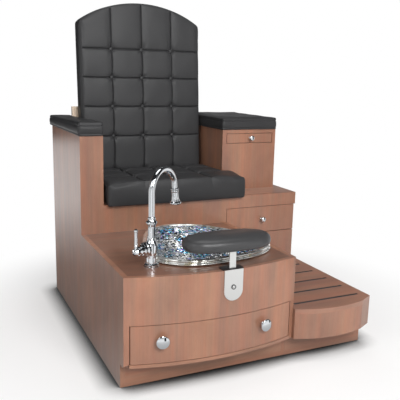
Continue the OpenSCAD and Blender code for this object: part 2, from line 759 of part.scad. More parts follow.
// Lift-out stopper: a dished cap with a knob above a ribbed stem
module drain_stopper() color(chrome) translate([bowl_x, bowl_y, bowl_floor_z]) rotate_extrude($fn = fine)
    polygon([[0, -14], [3, -14], [3, 2], [10, 3], [stopper_r, 8.6], [stopper_r + 2.4, 13.6],
        [stopper_r + 1.5, 15], [9, 14], [4, 14.5], [4, 18], [5.5, 20], [4, 22], [0, 22.5]]);

// ---- Faucet ----

module at_faucet() translate([faucet_x, faucet_y, 0]) children();

// Two-step escutcheon under the body
module faucet_flange() color(chrome) at_faucet() translate([0, 0, platform_h])
    rotate_extrude($fn = fine) polygon([[shank_r + 0.5, 0], [27, 0], [27, 3], [25.5, 4.5], [25.5, 8],
        [24, 10], [22, 12], [shank_r + 0.5, 12]]);

// Vase-shaped body with its swivel spigot, the handle's boss and the cartridge stem
module faucet_body() color(chrome) at_faucet() {
    translate([0, 0, platform_h]) rotate_extrude($fn = fine) polygon([
        [0, 12], [20.5, 12], [22, 14], [21.5, 20], [20.5, 32], [20.5, 40], [22, 50], [22, 75],
        [19.5, 84], [15.5, 92], [13, 99], [12.3, 106], [12.3, 134], [13.5, 140],
        [16, 145], [17, 149 - eps], [0, 149 - eps]]);
    translate([0, 0, swivel_z - 1]) cylinder(r = spigot_r, h = 20, $fn = fine);
    on_hub() {
        rotate_extrude($fn = fine) polygon([[0, 4], [16, 12], [20, 19], [21, 22], [25, 24.5],
            [25, 31], [21, 34], [20.5, hub_joint], [0, hub_joint]]);
        cylinder(r = 8, h = hub_joint + 18, $fn = fine);
    }
}

// The handle's own axis as +Z, starting on the faucet's axis
module on_hub() translate([0, 0, hub_z]) rotate([0, 90, handle_turn]) children();

// Turning sleeve of the handle, slotted at its end for the lever's root
module handle_hub() color(chrome) at_faucet() on_hub() {
    difference() {
        rotate_extrude($fn = fine) polygon([[0, hub_joint + 0.3], [20, hub_joint + 0.3], [20, 42],
            [17, 45], [16.5, 56], [14, 59], [13.5, 62], [14.5, 64], [14.5, 73], [12, 77], [8, 80],
            [0, 81]]);
        translate([0, 0, hub_joint]) cylinder(r = 8 + running, h = 19, $fn = fine);
        translate([-25, -5.3, lever_at - 9]) cube([34, 10.6, 30]);
    }
    translate([0, 8, lever_at]) rotate([90, 0, 0]) cylinder(r = lever_pin_r, h = 16, $fn = fine);
}

// Lever: an eye on the hub's pin, a slim rod and a ball end
module faucet_lever() color(chrome) at_faucet() on_hub() translate([0, 0, lever_at]) difference() {
    union() {
        translate([0, 5, 0]) rotate([90, 0, 0]) cylinder(r = 8, h = 10, $fn = fine);
        rotate([0, -90, 0]) rotate_extrude($fn = fine) polygon([[0, 0], [4.6, 0], [4.6, 19], [6.2, 20],
            [6.2, 23], [5.2, 25], [5, 45], [5.2, 67], [6.4, 69], [6.4, 75.5], [4.5, 78], [0, 78]]);
    }
    translate([0, 6, 0]) rotate([90, 0, 0]) cylinder(r = lever_pin_r + running, h = 12, $fn = fine);
}

// Threaded shank below the platform, with the two supply inlets
module faucet_shank() color("#C7A253") at_faucet() {
    translate([0, 0, shank_z]) cylinder(r = shank_r, h = platform_h + 12 - shank_z, $fn = fine);
    for (side = [-1, 1]) translate([side * inlet_gap / 2, 0, inlet_z])
        cylinder(r = inlet_r, h = shank_z - inlet_z + 1, $fn = fine);
}

// Mounting nut and its washer, clamped against the board's underside
module faucet_nut() color(steel) at_faucet() difference() {
    union() {
        translate([0, 0, platform_h - board - 3]) cylinder(r = 30, h = 3, $fn = fine);
        translate([0, 0, platform_h - board - 20]) cylinder(r = 26, h = 17, $fn = 6);
    }
    translate([0, 0, platform_h - board - 30]) cylinder(r = shank_r + 0.2, h = 40, $fn = fine);
}

// The gooseneck's outer or inner form: riser, bend and the straight end. A plug across each
// joint, thinner than the tube, makes the three one solid
module neck(r, extra) {
    bend_z = platform_h + riser_h;
    foot_z = swivel_z + 18 - extra;
    translate([0, 0, foot_z]) cylinder(r = r, h = bend_z - foot_z, $fn = fine);
    translate([neck_r, 0, bend_z]) rotate([90, 0, 0]) rotate([0, 0, 180 - neck_sweep])
        rotate_extrude(angle = neck_sweep, $fn = 180) translate([neck_r, 0]) circle(r = r, $fn = 48);
    at_neck_end() cylinder(r = r, h = neck_straight + extra, $fn = fine);
    translate([0, 0, bend_z - 1]) cylinder(r = r - neck_plug, h = 2, $fn = fine);
    at_neck_end() translate([0, 0, -1]) cylinder(r = r - neck_plug, h = 2, $fn = fine);
}

// A frame at the end of the bend, with +Z along the tube towards its mouth
module at_neck_end() translate([neck_r - neck_r * cos(neck_sweep), 0,
    platform_h + riser_h + neck_r * sin(neck_sweep)]) rotate([0, neck_sweep, 0]) children();

// Swivelling gooseneck with its base collar and the docking ring for the spray head
module faucet_spout() color(chrome) at_faucet() rotate([0, 0, spout_turn]) difference() {
    union() {
        neck(tube_r, 0);
        translate([0, 0, swivel_z]) rotate_extrude($fn = fine) polygon([[0, 0.3], [18.5, 0.3], [19.5, 1.5],
            [19.5, 4.5], [17.5, 7.5], [14, 10.5], [12.6, 13.5], [13.2, 15], [13.2, 19.5], [tube_r, 22],
            [0, 22]]);
        at_neck_end() translate([0, 0, neck_straight - dock_l]) rotate_extrude($fn = fine) polygon([
            [0, 0], [13.5, 0], [15, 1.5], [15, 4.5], [13.5, dock_l], [0, dock_l]]);
    }
    neck(tube_r - tube_wall, 1);
    translate([0, 0, swivel_z - 1]) cylinder(r = spigot_r + running, h = 21, $fn = fine);
}

// Pull-down spray head with the stub of its hose
module spray_head() color(chrome) at_faucet() rotate([0, 0, spout_turn]) at_neck_end()
    translate([0, 0, neck_straight]) {
        rotate_extrude($fn = fine) polygon([[0, 0.5], [12, 0.5], [13.5, 2], [13.5, 6], [12.5, 9],
            [12.5, 24], [13.5, 34], [16, 41], [19.5, 45.5], [20.5, 48.5], [19.8, 51], [16.5, 51],
            [16, 48.5], [0, 48.5]]);
        translate([0, 0, -hose_stub]) cylinder(r = hose_r, h = hose_stub + 2, $fn = fine);
    }

// ---- Footrest ----

// Black receiver: a plate on the platform's edge with the sleeve that holds the strap
module footrest_receiver() color(black) difference() {
    union() {
        translate([0, 0, platform_h]) linear_extrude(3) hull() for (x = [-36, 36], y = [-13, 13])
            translate([strap_x + x, strap_y + 8 + y]) circle(r = 4, $fn = 32);
        slab([strap_x - strap_w / 2 - sleeve_wall, strap_y - strap_t / 2 - sleeve_wall, sleeve_z],
            [strap_x + strap_w / 2 + sleeve_wall, strap_y + strap_t / 2 + sleeve_wall, platform_h + 1]);
    }
    slab([strap_x - strap_w / 2 - sleeve_play, strap_y - strap_t / 2 - sleeve_play, sleeve_z + 4],
        [strap_x + strap_w / 2 + sleeve_play, strap_y + strap_t / 2 + sleeve_play, platform_h + 10]);
}

// Round-ended steel plate on the fascia's face
module footrest_front_plate() color(steel) on_front(strap_x, plate_end_z) difference() {
    linear_extrude(plate_t) union() {
        translate([-plate_w / 2, 0]) square([plate_w, platform_h + 1 - plate_end_z]);
        circle(r = plate_w / 2, $fn = fine);
    }
    translate([0, plate_screw_z - plate_end_z, -1]) cylinder(r = 3.2, h = 12, $fn = fine);
}

module front_plate_screw() color(steel) on_front(strap_x, plate_screw_z) translate([0, 0, plate_t])
    rotate_extrude($fn = 48)
        polygon([[0, -plate_t], [3, -plate_t], [3, 0], [7, 0], [6, 2], [3, 3.2], [0, 3.4]]);

// Steel strap: down into the sleeve, up and bent back under the pad
module footrest_strap() color(steel) {
    front = strap_y - strap_t / 2;
    foot = sleeve_z + 4 + strap_gap;
    along_x(strap_x - strap_w / 2, strap_x + strap_w / 2) difference() {
        union() {
            translate([front, foot]) square([strap_t, pad_z - foot - strap_bend]);
            translate([front + strap_bend, pad_z - strap_t]) square([70, strap_t]);
            intersection() {
                translate([front + strap_bend, pad_z - strap_bend]) circle(r = strap_bend, $fn = fine);
                translate([front, pad_z - strap_bend]) square([strap_bend + eps, strap_bend]);
            }
        }
        translate([front + strap_bend, pad_z - strap_bend])
            circle(r = strap_bend - strap_t, $fn = fine);
    }
}

// Oval pad with a crowned top and a drawn-in side
module footrest_pad() color(vinyl) {
    // [part of the full length and depth taken off, height]
    profile = [[24, 0], [8, 1.5], [2, 9], [0, 18], [2, 28], [8, 36], [20, 42], [46, 46.5],
        [84, 49], [120, 50]];
    loft([for (p = profile) [for (q = oval(pad_l - p[0], pad_d - p[0], 2.6, 48))
        [pad_x + q.x, pad_y - q.y, pad_z + p[1] * pad_t / 50]]]);
}

in_frame() left_side_panel();
in_frame() divider_panel();
in_frame() right_side_panel();
in_frame() rear_panel();
in_frame() floor_panel();
in_frame() plinth_front();
in_frame() platform_top();
in_frame() front_fascia();
in_frame() seat_front_panel();
in_frame() side_lower_panel();
in_frame() seat_deck();
in_frame() left_arm_front();
in_frame() left_arm_inner_panel();
in_frame() right_arm_front();
in_frame() right_arm_inner_panel();
in_frame() right_arm_outer_panel();
in_frame() right_arm_top();
in_frame() backboard();
in_frame() step_top();
in_frame() step_fascia();
in_frame() step_side_panel();
in_frame() step_plinth();
in_frame() step_tread_strips();
in_frame() drawer_slides();
in_frame() tray_guides();
in_frame() bowl();
in_frame() bowl_gasket();
in_frame() drain_flange();
in_frame() tailpiece();
in_frame() faucet_flange();
in_frame() faucet_body();
in_frame() faucet_shank();
in_frame() faucet_nut();
in_frame() footrest_receiver();
in_frame() footrest_front_plate();
in_frame() front_plate_screw();
in_frame() seat_cushion();
in_frame() back_cushion();
in_frame() back_buttons();
in_frame() left_arm_cushion();
in_frame() right_arm_cushion();
in_frame() front_drawer_face();
in_frame() front_drawer_box();
in_frame() front_drawer_knobs();
in_frame() front_drawer_runners();
in_frame() side_drawer_face();
in_frame() side_drawer_box();
in_frame() side_drawer_knob();
in_frame() side_drawer_runners();
in_frame() arm_tray_face();
in_frame() arm_tray_board();
in_frame() arm_tray_knob();
in_frame() footrest_strap();
in_frame() footrest_pad();
in_frame() faucet_spout();
in_frame() spray_head();
in_frame() handle_hub();
in_frame() faucet_lever();
in_frame() drain_stopper();
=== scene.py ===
import math
from functools import partial
import bmesh
import bpy
from mathutils import Matrix, Vector, noise


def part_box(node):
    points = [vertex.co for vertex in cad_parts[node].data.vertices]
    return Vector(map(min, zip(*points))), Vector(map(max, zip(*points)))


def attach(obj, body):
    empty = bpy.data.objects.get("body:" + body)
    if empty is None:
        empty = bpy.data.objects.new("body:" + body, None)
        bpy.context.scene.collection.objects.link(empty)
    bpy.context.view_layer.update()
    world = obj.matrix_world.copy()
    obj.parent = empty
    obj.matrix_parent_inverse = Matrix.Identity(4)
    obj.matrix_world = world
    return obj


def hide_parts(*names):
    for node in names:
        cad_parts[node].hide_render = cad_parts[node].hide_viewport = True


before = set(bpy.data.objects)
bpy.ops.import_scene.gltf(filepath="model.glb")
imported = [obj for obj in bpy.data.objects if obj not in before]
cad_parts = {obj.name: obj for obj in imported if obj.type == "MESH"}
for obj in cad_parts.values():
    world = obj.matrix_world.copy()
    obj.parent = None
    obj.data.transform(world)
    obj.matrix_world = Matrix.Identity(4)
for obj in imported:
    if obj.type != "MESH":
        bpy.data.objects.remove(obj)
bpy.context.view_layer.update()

scene = bpy.context.scene
scene.view_settings.view_transform = "Standard"
benchMiddle = (501.0, 482.5)
millimetre = 0.001


def at(x, y, z):  # bench millimetres, counted from the cabinet's left front corner, to metres
    return Vector(((x - benchMiddle[0]) / 1000, (y - benchMiddle[1]) / 1000, z / 1000))


# Camera

cameraPlace = {
    "spot": (-1.03995, -2.24451, 1.03037),
    "right": (0.908505, -0.417272, 0.022415),
    "up": (0.064999, 0.194101, 0.978826),
    "lens": 53.45,
}


def makeCamera(place):
    data = bpy.data.cameras.new("studio_camera")
    data.lens = place["lens"]
    data.sensor_width = 36
    camera = bpy.data.objects.new("studio_camera", data)
    right, up = Vector(place["right"]).normalized(), Vector(place["up"]).normalized()
    back = right.cross(up).normalized()
    turn = Matrix((right, back.cross(right), back)).transposed().to_4x4()
    camera.matrix_world = Matrix.Translation(place["spot"]) @ turn
    scene.collection.objects.link(camera)
    scene.camera = camera


makeCamera(cameraPlace)

# Node trees


def toLinear(code):
    parts = [int(code[i:i + 2], 16) / 255 for i in (1, 3, 5)]
    return [*(v / 12.92 if v <= 0.04045 else ((v + 0.055) / 1.055) ** 2.4 for v in parts), 1.0]


kindPrefix = {"SHADER": "ShaderNode", "GEOMETRY": "GeometryNode"}


def addNode(tree, kind, inputs=None, stops=(), **settings):  # the tree's own prefix may be left out
    node = tree.nodes.new(kind if "Node" in kind else kindPrefix[tree.type] + kind)
    for name, value in settings.items():
        setattr(node, name, value)
    if stops:
        ramp = node.color_ramp.elements
        while len(ramp) < len(stops):
            ramp.new(0.5)
        for element, (spot, colour) in zip(ramp, stops):
            element.position = spot
            element.color = toLinear(colour)
    for name, value in (inputs or {}).items():
        socket = node.inputs[name]
        for source in value if isinstance(value, list) else [value]:  # a list joins in one socket
            if isinstance(source, bpy.types.Node):  # a node stands for its first output
                source = source.outputs[0]
            if isinstance(source, bpy.types.NodeSocket):
                tree.links.new(source, socket)
            else:
                socket.default_value = toLinear(source) if isinstance(source, str) else source
    return node


def newMaterial(name, build, *values):  # build makes the nodes and returns the shader
    material = bpy.data.materials.new(name)
    material.use_nodes = True
    material.node_tree.nodes.clear()
    add = partial(addNode, material.node_tree)
    add("OutputMaterial", {"Surface": build(add, *values)})
    return material


# Studio

studio = {
    "ambient": 0.20,
    "ceiling": [(0.0, "#FFFFFF"), (0.16, "#F4F4F4"), (0.36, "#5A5A5C"), (0.8, "#2A2A2B")],
    "floorHalf": 30.0, "floorTone": "#F4F3F2", "floorGlow": 0.42, "fadeFrom": 0.72, "fadeTo": 1.35,
    # painted shade from ambient occlusion: the dark line where the cabinet stands, and the dark of the
    # floor inside it
    "contactReach": 0.09, "contactFrom": 0.52, "contactTone": 0.05,
    "roofReach": 1.2, "roofFrom": 0.12, "roofTo": 0.34, "roofTone": 0.03,
    # painted shade in reflections: mirrors and panes see the floor dark near the cabinet and white
    # further out
    "mirrorMiddle": (-0.3, 0.5, 0.0), "mirrorNear": 0.18, "mirrorFrom": 0.5, "mirrorTo": 2.1,
    "lamps": [  # name, place, aim, size, watts
        ("key", (0.0, -3.5, 2.5), (0.0, 0.0, 0.55), 1.9, 132),
        ("fill", (-3.2, -1.6, 2.6), (0.0, 0.0, 0.5), 2.2, 33),
        ("top", (0.2, -0.2, 3.9), (0.0, 0.0, 0.4), 2.4, 30),
        ("back", (1.2, 3.4, 2.4), (0.0, 0.2, 0.6), 2.4, 30),
    ],
    "flags": [  # screens that only reflections see: turn from the lens side, reach, width, foot, tone
        (-72, 1.6, 0.34, 0.0, "#101011"), (-34, 1.6, 0.20, 0.0, "#101011"),
        (20, 1.6, 0.28, 0.0, "#101011"), (80, 1.6, 0.60, 0.0, "#101011"),
        (130, 2.6, 0.5, 0.0, "#2A2A2B"), (178, 2.6, 3.0, 0.0, "#4A4A4C"),
        (-128, 2.6, 2.0, 0.52, "#0C0C0D"),
    ],
    "flagTop": 3.0, "flagTurn": -115,
}


def rayKinds(add):  # the camera's own look, and the look of a mirror or a pane
    path = add("LightPath").outputs
    mirrored = add("Math", {0: path["Is Glossy Ray"], 1: path["Is Transmission Ray"]},
                   operation="MAXIMUM")
    return path["Is Camera Ray"], mirrored


def makeWorld(setup):  # in reflections white round the horizon, and dark as a studio's ceiling above
    world = bpy.data.worlds.new("studio")
    world.use_nodes = True
    scene.world = world
    world.node_tree.nodes.clear()
    add = partial(addNode, world.node_tree)
    byCamera, mirrored = rayKinds(add)
    way = add("TexCoord").outputs["Generated"]
    height = add("SeparateXYZ", {0: way}).outputs["Z"]
    sky = add("ValToRGB", {"Fac": height}, setup["ceiling"])
    reflected = add("Background", {"Color": sky, "Strength": 1.0})
    white = add("Background", {"Color": "#FFFFFF", "Strength": 1.0})
    light = add("Background", {"Color": "#FBFCFF", "Strength": setup["ambient"]})
    dim = add("MixShader", {0: mirrored, 1: light, 2: reflected})
    both = add("MixShader", {0: byCamera, 1: dim, 2: white})
    add("OutputWorld", {"Surface": both})


def paperSweep(add, setup):
    # matt paper, which keeps the shadow by the object and turns to plain white further out
    byCamera, mirrored = rayKinds(add)
    spot = add("TexCoord").outputs["Object"]
    reach = add("VectorMath", {0: spot}, operation="LENGTH").outputs["Value"]
    fade = add("MapRange", {"Value": reach, "From Min": setup["fadeFrom"], "From Max": setup["fadeTo"],
               "To Min": setup["floorGlow"]}, interpolation_type="SMOOTHSTEP")
    glow = add("Math", {0: fade, 1: byCamera}, operation="MULTIPLY")
    # painted shade: ambient occlusion darkens the paper and its white glow at the cabinet's foot and
    # under it
    near = add("AmbientOcclusion", {"Distance": setup["contactReach"]}, samples=16)
    contact = add("MapRange", {"Value": near.outputs["AO"], "From Min": setup["contactFrom"],
                  "To Min": setup["contactTone"]})
    roofed = add("AmbientOcclusion", {"Distance": setup["roofReach"]}, samples=16)
    opened = add("MapRange", {"Value": roofed.outputs["AO"], "From Min": setup["roofFrom"],
                 "From Max": setup["roofTo"], "To Min": setup["roofTone"]})
    level = add("Math", {0: contact, 1: opened}, operation="MULTIPLY")
    tone = add("Mix", {0: level, 6: "#000000", 7: setup["floorTone"]}, data_type="RGBA")
    paper = add("BsdfDiffuse", {"Color": tone.outputs[2]})
    white = add("Emission", {"Color": "#FFFFFF", "Strength": level})
    seen = add("MixShader", {0: glow, 1: paper, 2: white})
    # painted shade in reflections: the floor that mirrors and panes see is dark near the cabinet
    behind = add("VectorMath", {0: spot, 1: setup["mirrorMiddle"]}, operation="DISTANCE")
    far = add("MapRange", {"Value": behind.outputs["Value"], "From Min": setup["mirrorFrom"],
              "From Max": setup["mirrorTo"], "To Min": setup["mirrorNear"]})
    mirror = add("Emission", {"Color": "#FFFFFF", "Strength": far})
    return add("MixShader", {0: mirrored, 1: seen, 2: mirror})


def flagCloth(add, shade):
    return add("Emission", {"Color": shade, "Strength": 1.0})


def stageSheet(name, corners, material):
    mesh = bpy.data.meshes.new(name)
    mesh.from_pydata(corners, [], [(0, 1, 2, 3)])
    mesh.materials.append(material)
    sheet = bpy.data.objects.new(name, mesh)
    scene.collection.objects.link(sheet)
    return sheet


def makeStudio(setup):
    makeWorld(setup)
    half = setup["floorHalf"]
    stageSheet("studio_floor", [(-half, -half, 0), (half, -half, 0), (half, half, 0), (-half, half, 0)],
               newMaterial("paper_sweep", paperSweep, setup))
    for name, place, aim, size, watts in setup["lamps"]:
        lamp = bpy.data.lights.new("lamp_" + name, "AREA")
        lamp.shape, lamp.size, lamp.energy = "DISK", size, watts
        holder = bpy.data.objects.new("lamp_" + name, lamp)
        holder.location = place
        holder.rotation_euler = (Vector(aim) - Vector(place)).to_track_quat("-Z", "Y").to_euler()
        scene.collection.objects.link(holder)
    for k, (turn, reach, width, foot, shade) in enumerate(setup["flags"]):
        way = math.radians(setup["flagTurn"] + turn)
        middle = Vector((math.cos(way), math.sin(way), 0)) * reach + Vector((0, 0, foot))
        aside = Vector((-math.sin(way), math.cos(way), 0)) * width / 2
        tall = Vector((0, 0, setup["flagTop"] - foot))
        flag = stageSheet(f"studio_flag_{k}", [middle - aside, middle + aside, middle + aside + tall,
                          middle - aside + tall], newMaterial(f"flag_cloth_{k}", flagCloth, shade))
        flag.visible_camera = flag.visible_shadow = flag.visible_diffuse = False
        flag.visible_transmission = False


makeStudio(studio)
print("studio ready")

# Materials


def perMm(size):  # a texture's scale for features of this size
    return 1 / (size * millimetre)


def grainScale(across, along, turn):  # the same for features that are long along one axis
    sizes = {"X": (along, across, across), "Z": (across, across, along)}
    return tuple(perMm(size) for size in sizes[turn])


def laminate(add, turn, tones, satin):
    # printed melamine laminate: soft bands, fine streaks and short pores, under a satin film
    spot = add("TexCoord").outputs["Object"]

    def grain(across, along, detail, rough=0.55):
        scaled = add("Mapping", {"Vector": spot, "Scale": grainScale(across, along, turn)})
        return add("TexNoise", {"Vector": scaled, "Scale": 1.0, "Detail": detail, "Roughness": rough})

    tone = add("ValToRGB", {"Fac": grain(75, 700, 2.0)}, [(0.28, tones[0]), (0.50, tones[1]), (0.72,
               tones[2])])
    veneer = add("ValToRGB", {"Fac": grain(26, 480, 2.0)}, [(0.34, "#EFF4F2"), (0.50, "#F7F4F0"),
                 (0.66, "#FFF2EA")])
    toned = add("VectorMath", {0: tone, 1: veneer}, operation="MULTIPLY")
    fine = add("MapRange", {"Value": grain(6, 300, 4.0, 0.65), "From Min": 0.30, "From Max": 0.70,
               "To Min": 0.93, "To Max": 1.05})
    cloud = add("MapRange", {"Value": grain(70, 130, 3.0, 0.6), "From Min": 0.3, "From Max": 0.7,
                "To Min": 0.90, "To Max": 1.10})
    streaks = add("Math", {0: fine, 1: cloud}, operation="MULTIPLY")
    pores = add("MapRange", {"Value": grain(1.3, 26, 2.0), "From Min": 0.60, "From Max": 0.74,
                "To Min": 1.0, "To Max": 0.86})
    shade = add("Math", {0: streaks, 1: pores}, operation="MULTIPLY")
    colour = add("VectorMath", {0: toned, "Scale": shade}, operation="SCALE")
    dull = add("MapRange", {"Value": grain(24, 300, 3.0), "To Min": satin - 0.05,
               "To Max": satin + 0.07})
    relief = add("Bump", {"Height": pores, "Strength": 0.12, "Distance": 0.0004})
    return add("BsdfPrincipled", {"Base Color": colour, "Roughness": dull, "IOR": 1.5,
               "Normal": relief, "Coat Weight": 0.65, "Coat Roughness": 0.24})


def vinyl(add, tone, worn, dullness, pebble, shine):
    # upholstery vinyl: embossed pebble skin, a soft sheen, slightly paler where it is rubbed.
    # The pebble is drawn about twice its real 1 mm so that it shows
    spot = add("TexCoord").outputs["Object"]
    cells = add("TexVoronoi", {"Vector": spot, "Scale": perMm(pebble)},
                feature="SMOOTH_F1").outputs["Distance"]
    fine = add("TexNoise", {"Vector": spot, "Scale": perMm(0.9), "Detail": 3.0})
    cloud = add("TexNoise", {"Vector": spot, "Scale": perMm(95), "Detail": 4.0, "Roughness": 0.6})
    mix = add("Mix", {0: cloud, 6: tone, 7: worn}, data_type="RGBA").outputs[2]
    # painted shade: the pebble's hollows darker and its tops a little lighter
    valley = add("MapRange", {"Value": cells, "From Max": 0.8, "To Min": 1.06, "To Max": 0.86})
    colour = add("VectorMath", {0: mix, "Scale": valley}, operation="SCALE")
    dull = add("MapRange", {"Value": cloud, "To Min": dullness - 0.06, "To Max": dullness + 0.08})
    skin = add("Bump", {"Height": cells, "Strength": 0.25, "Distance": 0.0005}, invert=True)
    grit = add("Bump", {"Height": fine, "Strength": 0.12, "Distance": 0.0003, "Normal": skin})
    return add("BsdfPrincipled", {"Base Color": colour, "Roughness": dull, "Normal": grit,
               "Specular IOR Level": shine})


def plated(add, tone, dullness, scratch):
    # plated metal: mirror chrome or satin nickel, with faint wiping marks
    spot = add("TexCoord").outputs["Object"]
    cloud = add("TexNoise", {"Vector": spot, "Scale": perMm(28), "Detail": 3.0})
    stretched = add("Mapping", {"Vector": spot, "Scale": grainScale(0.6, 30, "Z")})
    lines = add("TexNoise", {"Vector": stretched, "Scale": 1.0, "Detail": 2.0})
    dull = add("MapRange", {"Value": cloud, "From Min": 0.35, "From Max": 0.75, "To Min": dullness,
               "To Max": dullness + 0.04})
    relief = add("Bump", {"Height": lines, "Strength": scratch, "Distance": 0.0002})
    return add("BsdfPrincipled", {"Base Color": tone, "Metallic": 1.0, "Roughness": dull,
               "Normal": relief})


def moulded(add, tone, dullness, grit):
    # moulded rubber or plastic: matt, with a spark-eroded grit
    spot = add("TexCoord").outputs["Object"]
    speck = add("TexNoise", {"Vector": spot, "Scale": perMm(grit), "Detail": 3.0})
    dust = add("TexNoise", {"Vector": spot, "Scale": perMm(40), "Detail": 4.0})
    shade = add("MapRange", {"Value": dust, "To Min": 0.8, "To Max": 1.35})
    base = add("RGB")
    base.outputs[0].default_value = toLinear(tone)
    colour = add("VectorMath", {0: base, "Scale": shade}, operation="SCALE")
    relief = add("Bump", {"Height": speck, "Strength": 0.3, "Distance": 0.0003})
    return add("BsdfPrincipled", {"Base Color": colour, "Roughness": dullness, "Normal": relief})


mosaicShape = {
    "flake": (6.0, 2.9), "stream": (55.0, 22.0), "seamEvery": 11.0,  # along the rows, across them
    "drift": 0.022, "tilt": 0.55, "paleTone": "#D9D8CE", "paleFrom": -0.34, "paleTo": -0.25,
    "silver": [(0.0, "#16181C"), (0.14, "#8A8F94"), (0.28, "#F4F5F6"), (0.46, "#C3C2B8"),
               (0.54, "#FAFAFA"), (0.70, "#9AA0A8"), (0.80, "#E2DFD6"), (0.90, "#2A2D32")],
    "bright": [(0.0, "#15181D"), (0.14, "#2AB0D6"), (0.30, "#86CBE8"), (0.42, "#F4F6F8"),
               (0.54, "#9C6CCB"), (0.66, "#3F7FD0"), (0.76, "#E6E2EC"), (0.86, "#7CC29A"),
               (0.93, "#20252C")],
}


def mosaicGlass(add, make):
    # iridescent foil flakes laid in swirling rows under clear glass, paler in the left lobe
    rows = add("Attribute", attribute_name="rows").outputs["Vector"]
    drift = add("TexNoise", {"Vector": rows, "Scale": perMm(45), "Detail": 2.0}).outputs["Color"]
    bent = add("VectorMath", {0: drift, 1: (make["drift"],) * 3, 2: rows}, operation="MULTIPLY_ADD")
    scaled = add("Mapping", {"Vector": bent, "Scale": grainScale(*make["flake"], "Z")})
    flakes = add("TexVoronoi", {"Vector": scaled, "Scale": 1.0}).outputs["Color"]
    edges = add("TexVoronoi", {"Vector": scaled, "Scale": 1.0}, feature="DISTANCE_TO_EDGE")
    pick = add("SeparateColor", {0: flakes}).outputs
    patch = add("TexNoise", {"Vector": rows, "Scale": perMm(70), "Detail": 1.0})
    shift = add("MapRange", {"Value": patch, "From Min": 0.35, "From Max": 0.65, "To Min": -0.28,
                "To Max": 0.28})
    chance = add("Math", {0: pick[0], 1: shift}, operation="ADD")
    silver = add("ValToRGB", {"Fac": chance}, make["silver"])
    bright = add("ValToRGB", {"Fac": chance}, make["bright"])
    silver.color_ramp.interpolation = bright.color_ramp.interpolation = "CONSTANT"
    swirl = add("Mapping", {"Vector": bent, "Scale": grainScale(*make["stream"], "Z")})
    stream = add("TexNoise", {"Vector": swirl, "Scale": 1.0, "Detail": 1.0})
    lively = add("MapRange", {"Value": stream, "From Min": 0.46, "From Max": 0.56})
    tone = add("Mix", {0: lively, 6: silver, 7: bright}, data_type="RGBA").outputs[2]
    spot = add("TexCoord").outputs["Object"]
    sideways = add("SeparateXYZ", {0: spot}).outputs["X"]
    pale = add("MapRange", {"Value": sideways, "From Min": make["paleFrom"],
               "From Max": make["paleTo"], "To Min": 0.75, "To Max": 0.0})
    faded = add("Mix", {0: pale, 6: tone, 7: make["paleTone"]}, data_type="RGBA").outputs[2]
    outline = add("MapRange", {"Value": edges, "From Min": 0.03, "From Max": 0.10, "To Min": 0.18})
    course = add("SeparateXYZ", {0: bent}).outputs["Z"]
    turns = add("Math", {0: course, 1: 2 * math.pi / (make["seamEvery"] * millimetre)},
                operation="MULTIPLY")
    arcs = add("Math", {0: turns}, operation="SINE")
    seam = add("MapRange", {"Value": arcs, "From Min": 0.55, "From Max": 0.95, "To Min": 1.0,
               "To Max": 0.35})
    lined = add("Math", {0: outline, 1: seam}, operation="MULTIPLY")
    colour = add("VectorMath", {0: faded, "Scale": lined}, operation="SCALE")
    foil = add("MapRange", {"Value": pick[1], "To Min": 0.1, "To Max": 0.85})
    dull = add("MapRange", {"Value": pick[2], "To Min": 0.10, "To Max": 0.36})
    facing = add("NewGeometry").outputs["Normal"]
    centred = add("VectorMath", {0: flakes, 1: (0.5, 0.5, 0.5)}, operation="SUBTRACT")
    tilted = add("VectorMath", {0: centred, 1: (make["tilt"],) * 3, 2: facing},
                 operation="MULTIPLY_ADD")
    level = add("VectorMath", {0: tilted}, operation="NORMALIZE")
    return add("BsdfPrincipled", {"Base Color": colour, "Metallic": foil, "Roughness": dull,
               "Normal": level, "Coat Weight": 1.0, "Coat Roughness": 0.03, "Coat IOR": 1.5})


def silveredGlass(add):
    # thick polished rim, silvered underneath, with faint waves and a warm tint
    spot = add("TexCoord").outputs["Object"]
    wave = add("TexNoise", {"Vector": spot, "Scale": perMm(30), "Detail": 2.0})
    tint = add("ValToRGB", {"Fac": wave}, [(0.36, "#A9AAA4"), (0.46, "#EBECEA"), (0.57, "#E4E5E0"),
               (0.68, "#CFC9B2")])
    relief = add("Bump", {"Height": wave, "Strength": 0.5, "Distance": 0.002})
    return add("BsdfPrincipled", {"Base Color": tint, "Metallic": 0.72, "Roughness": 0.08,
               "Normal": relief, "Coat Weight": 1.0, "Coat Roughness": 0.02})


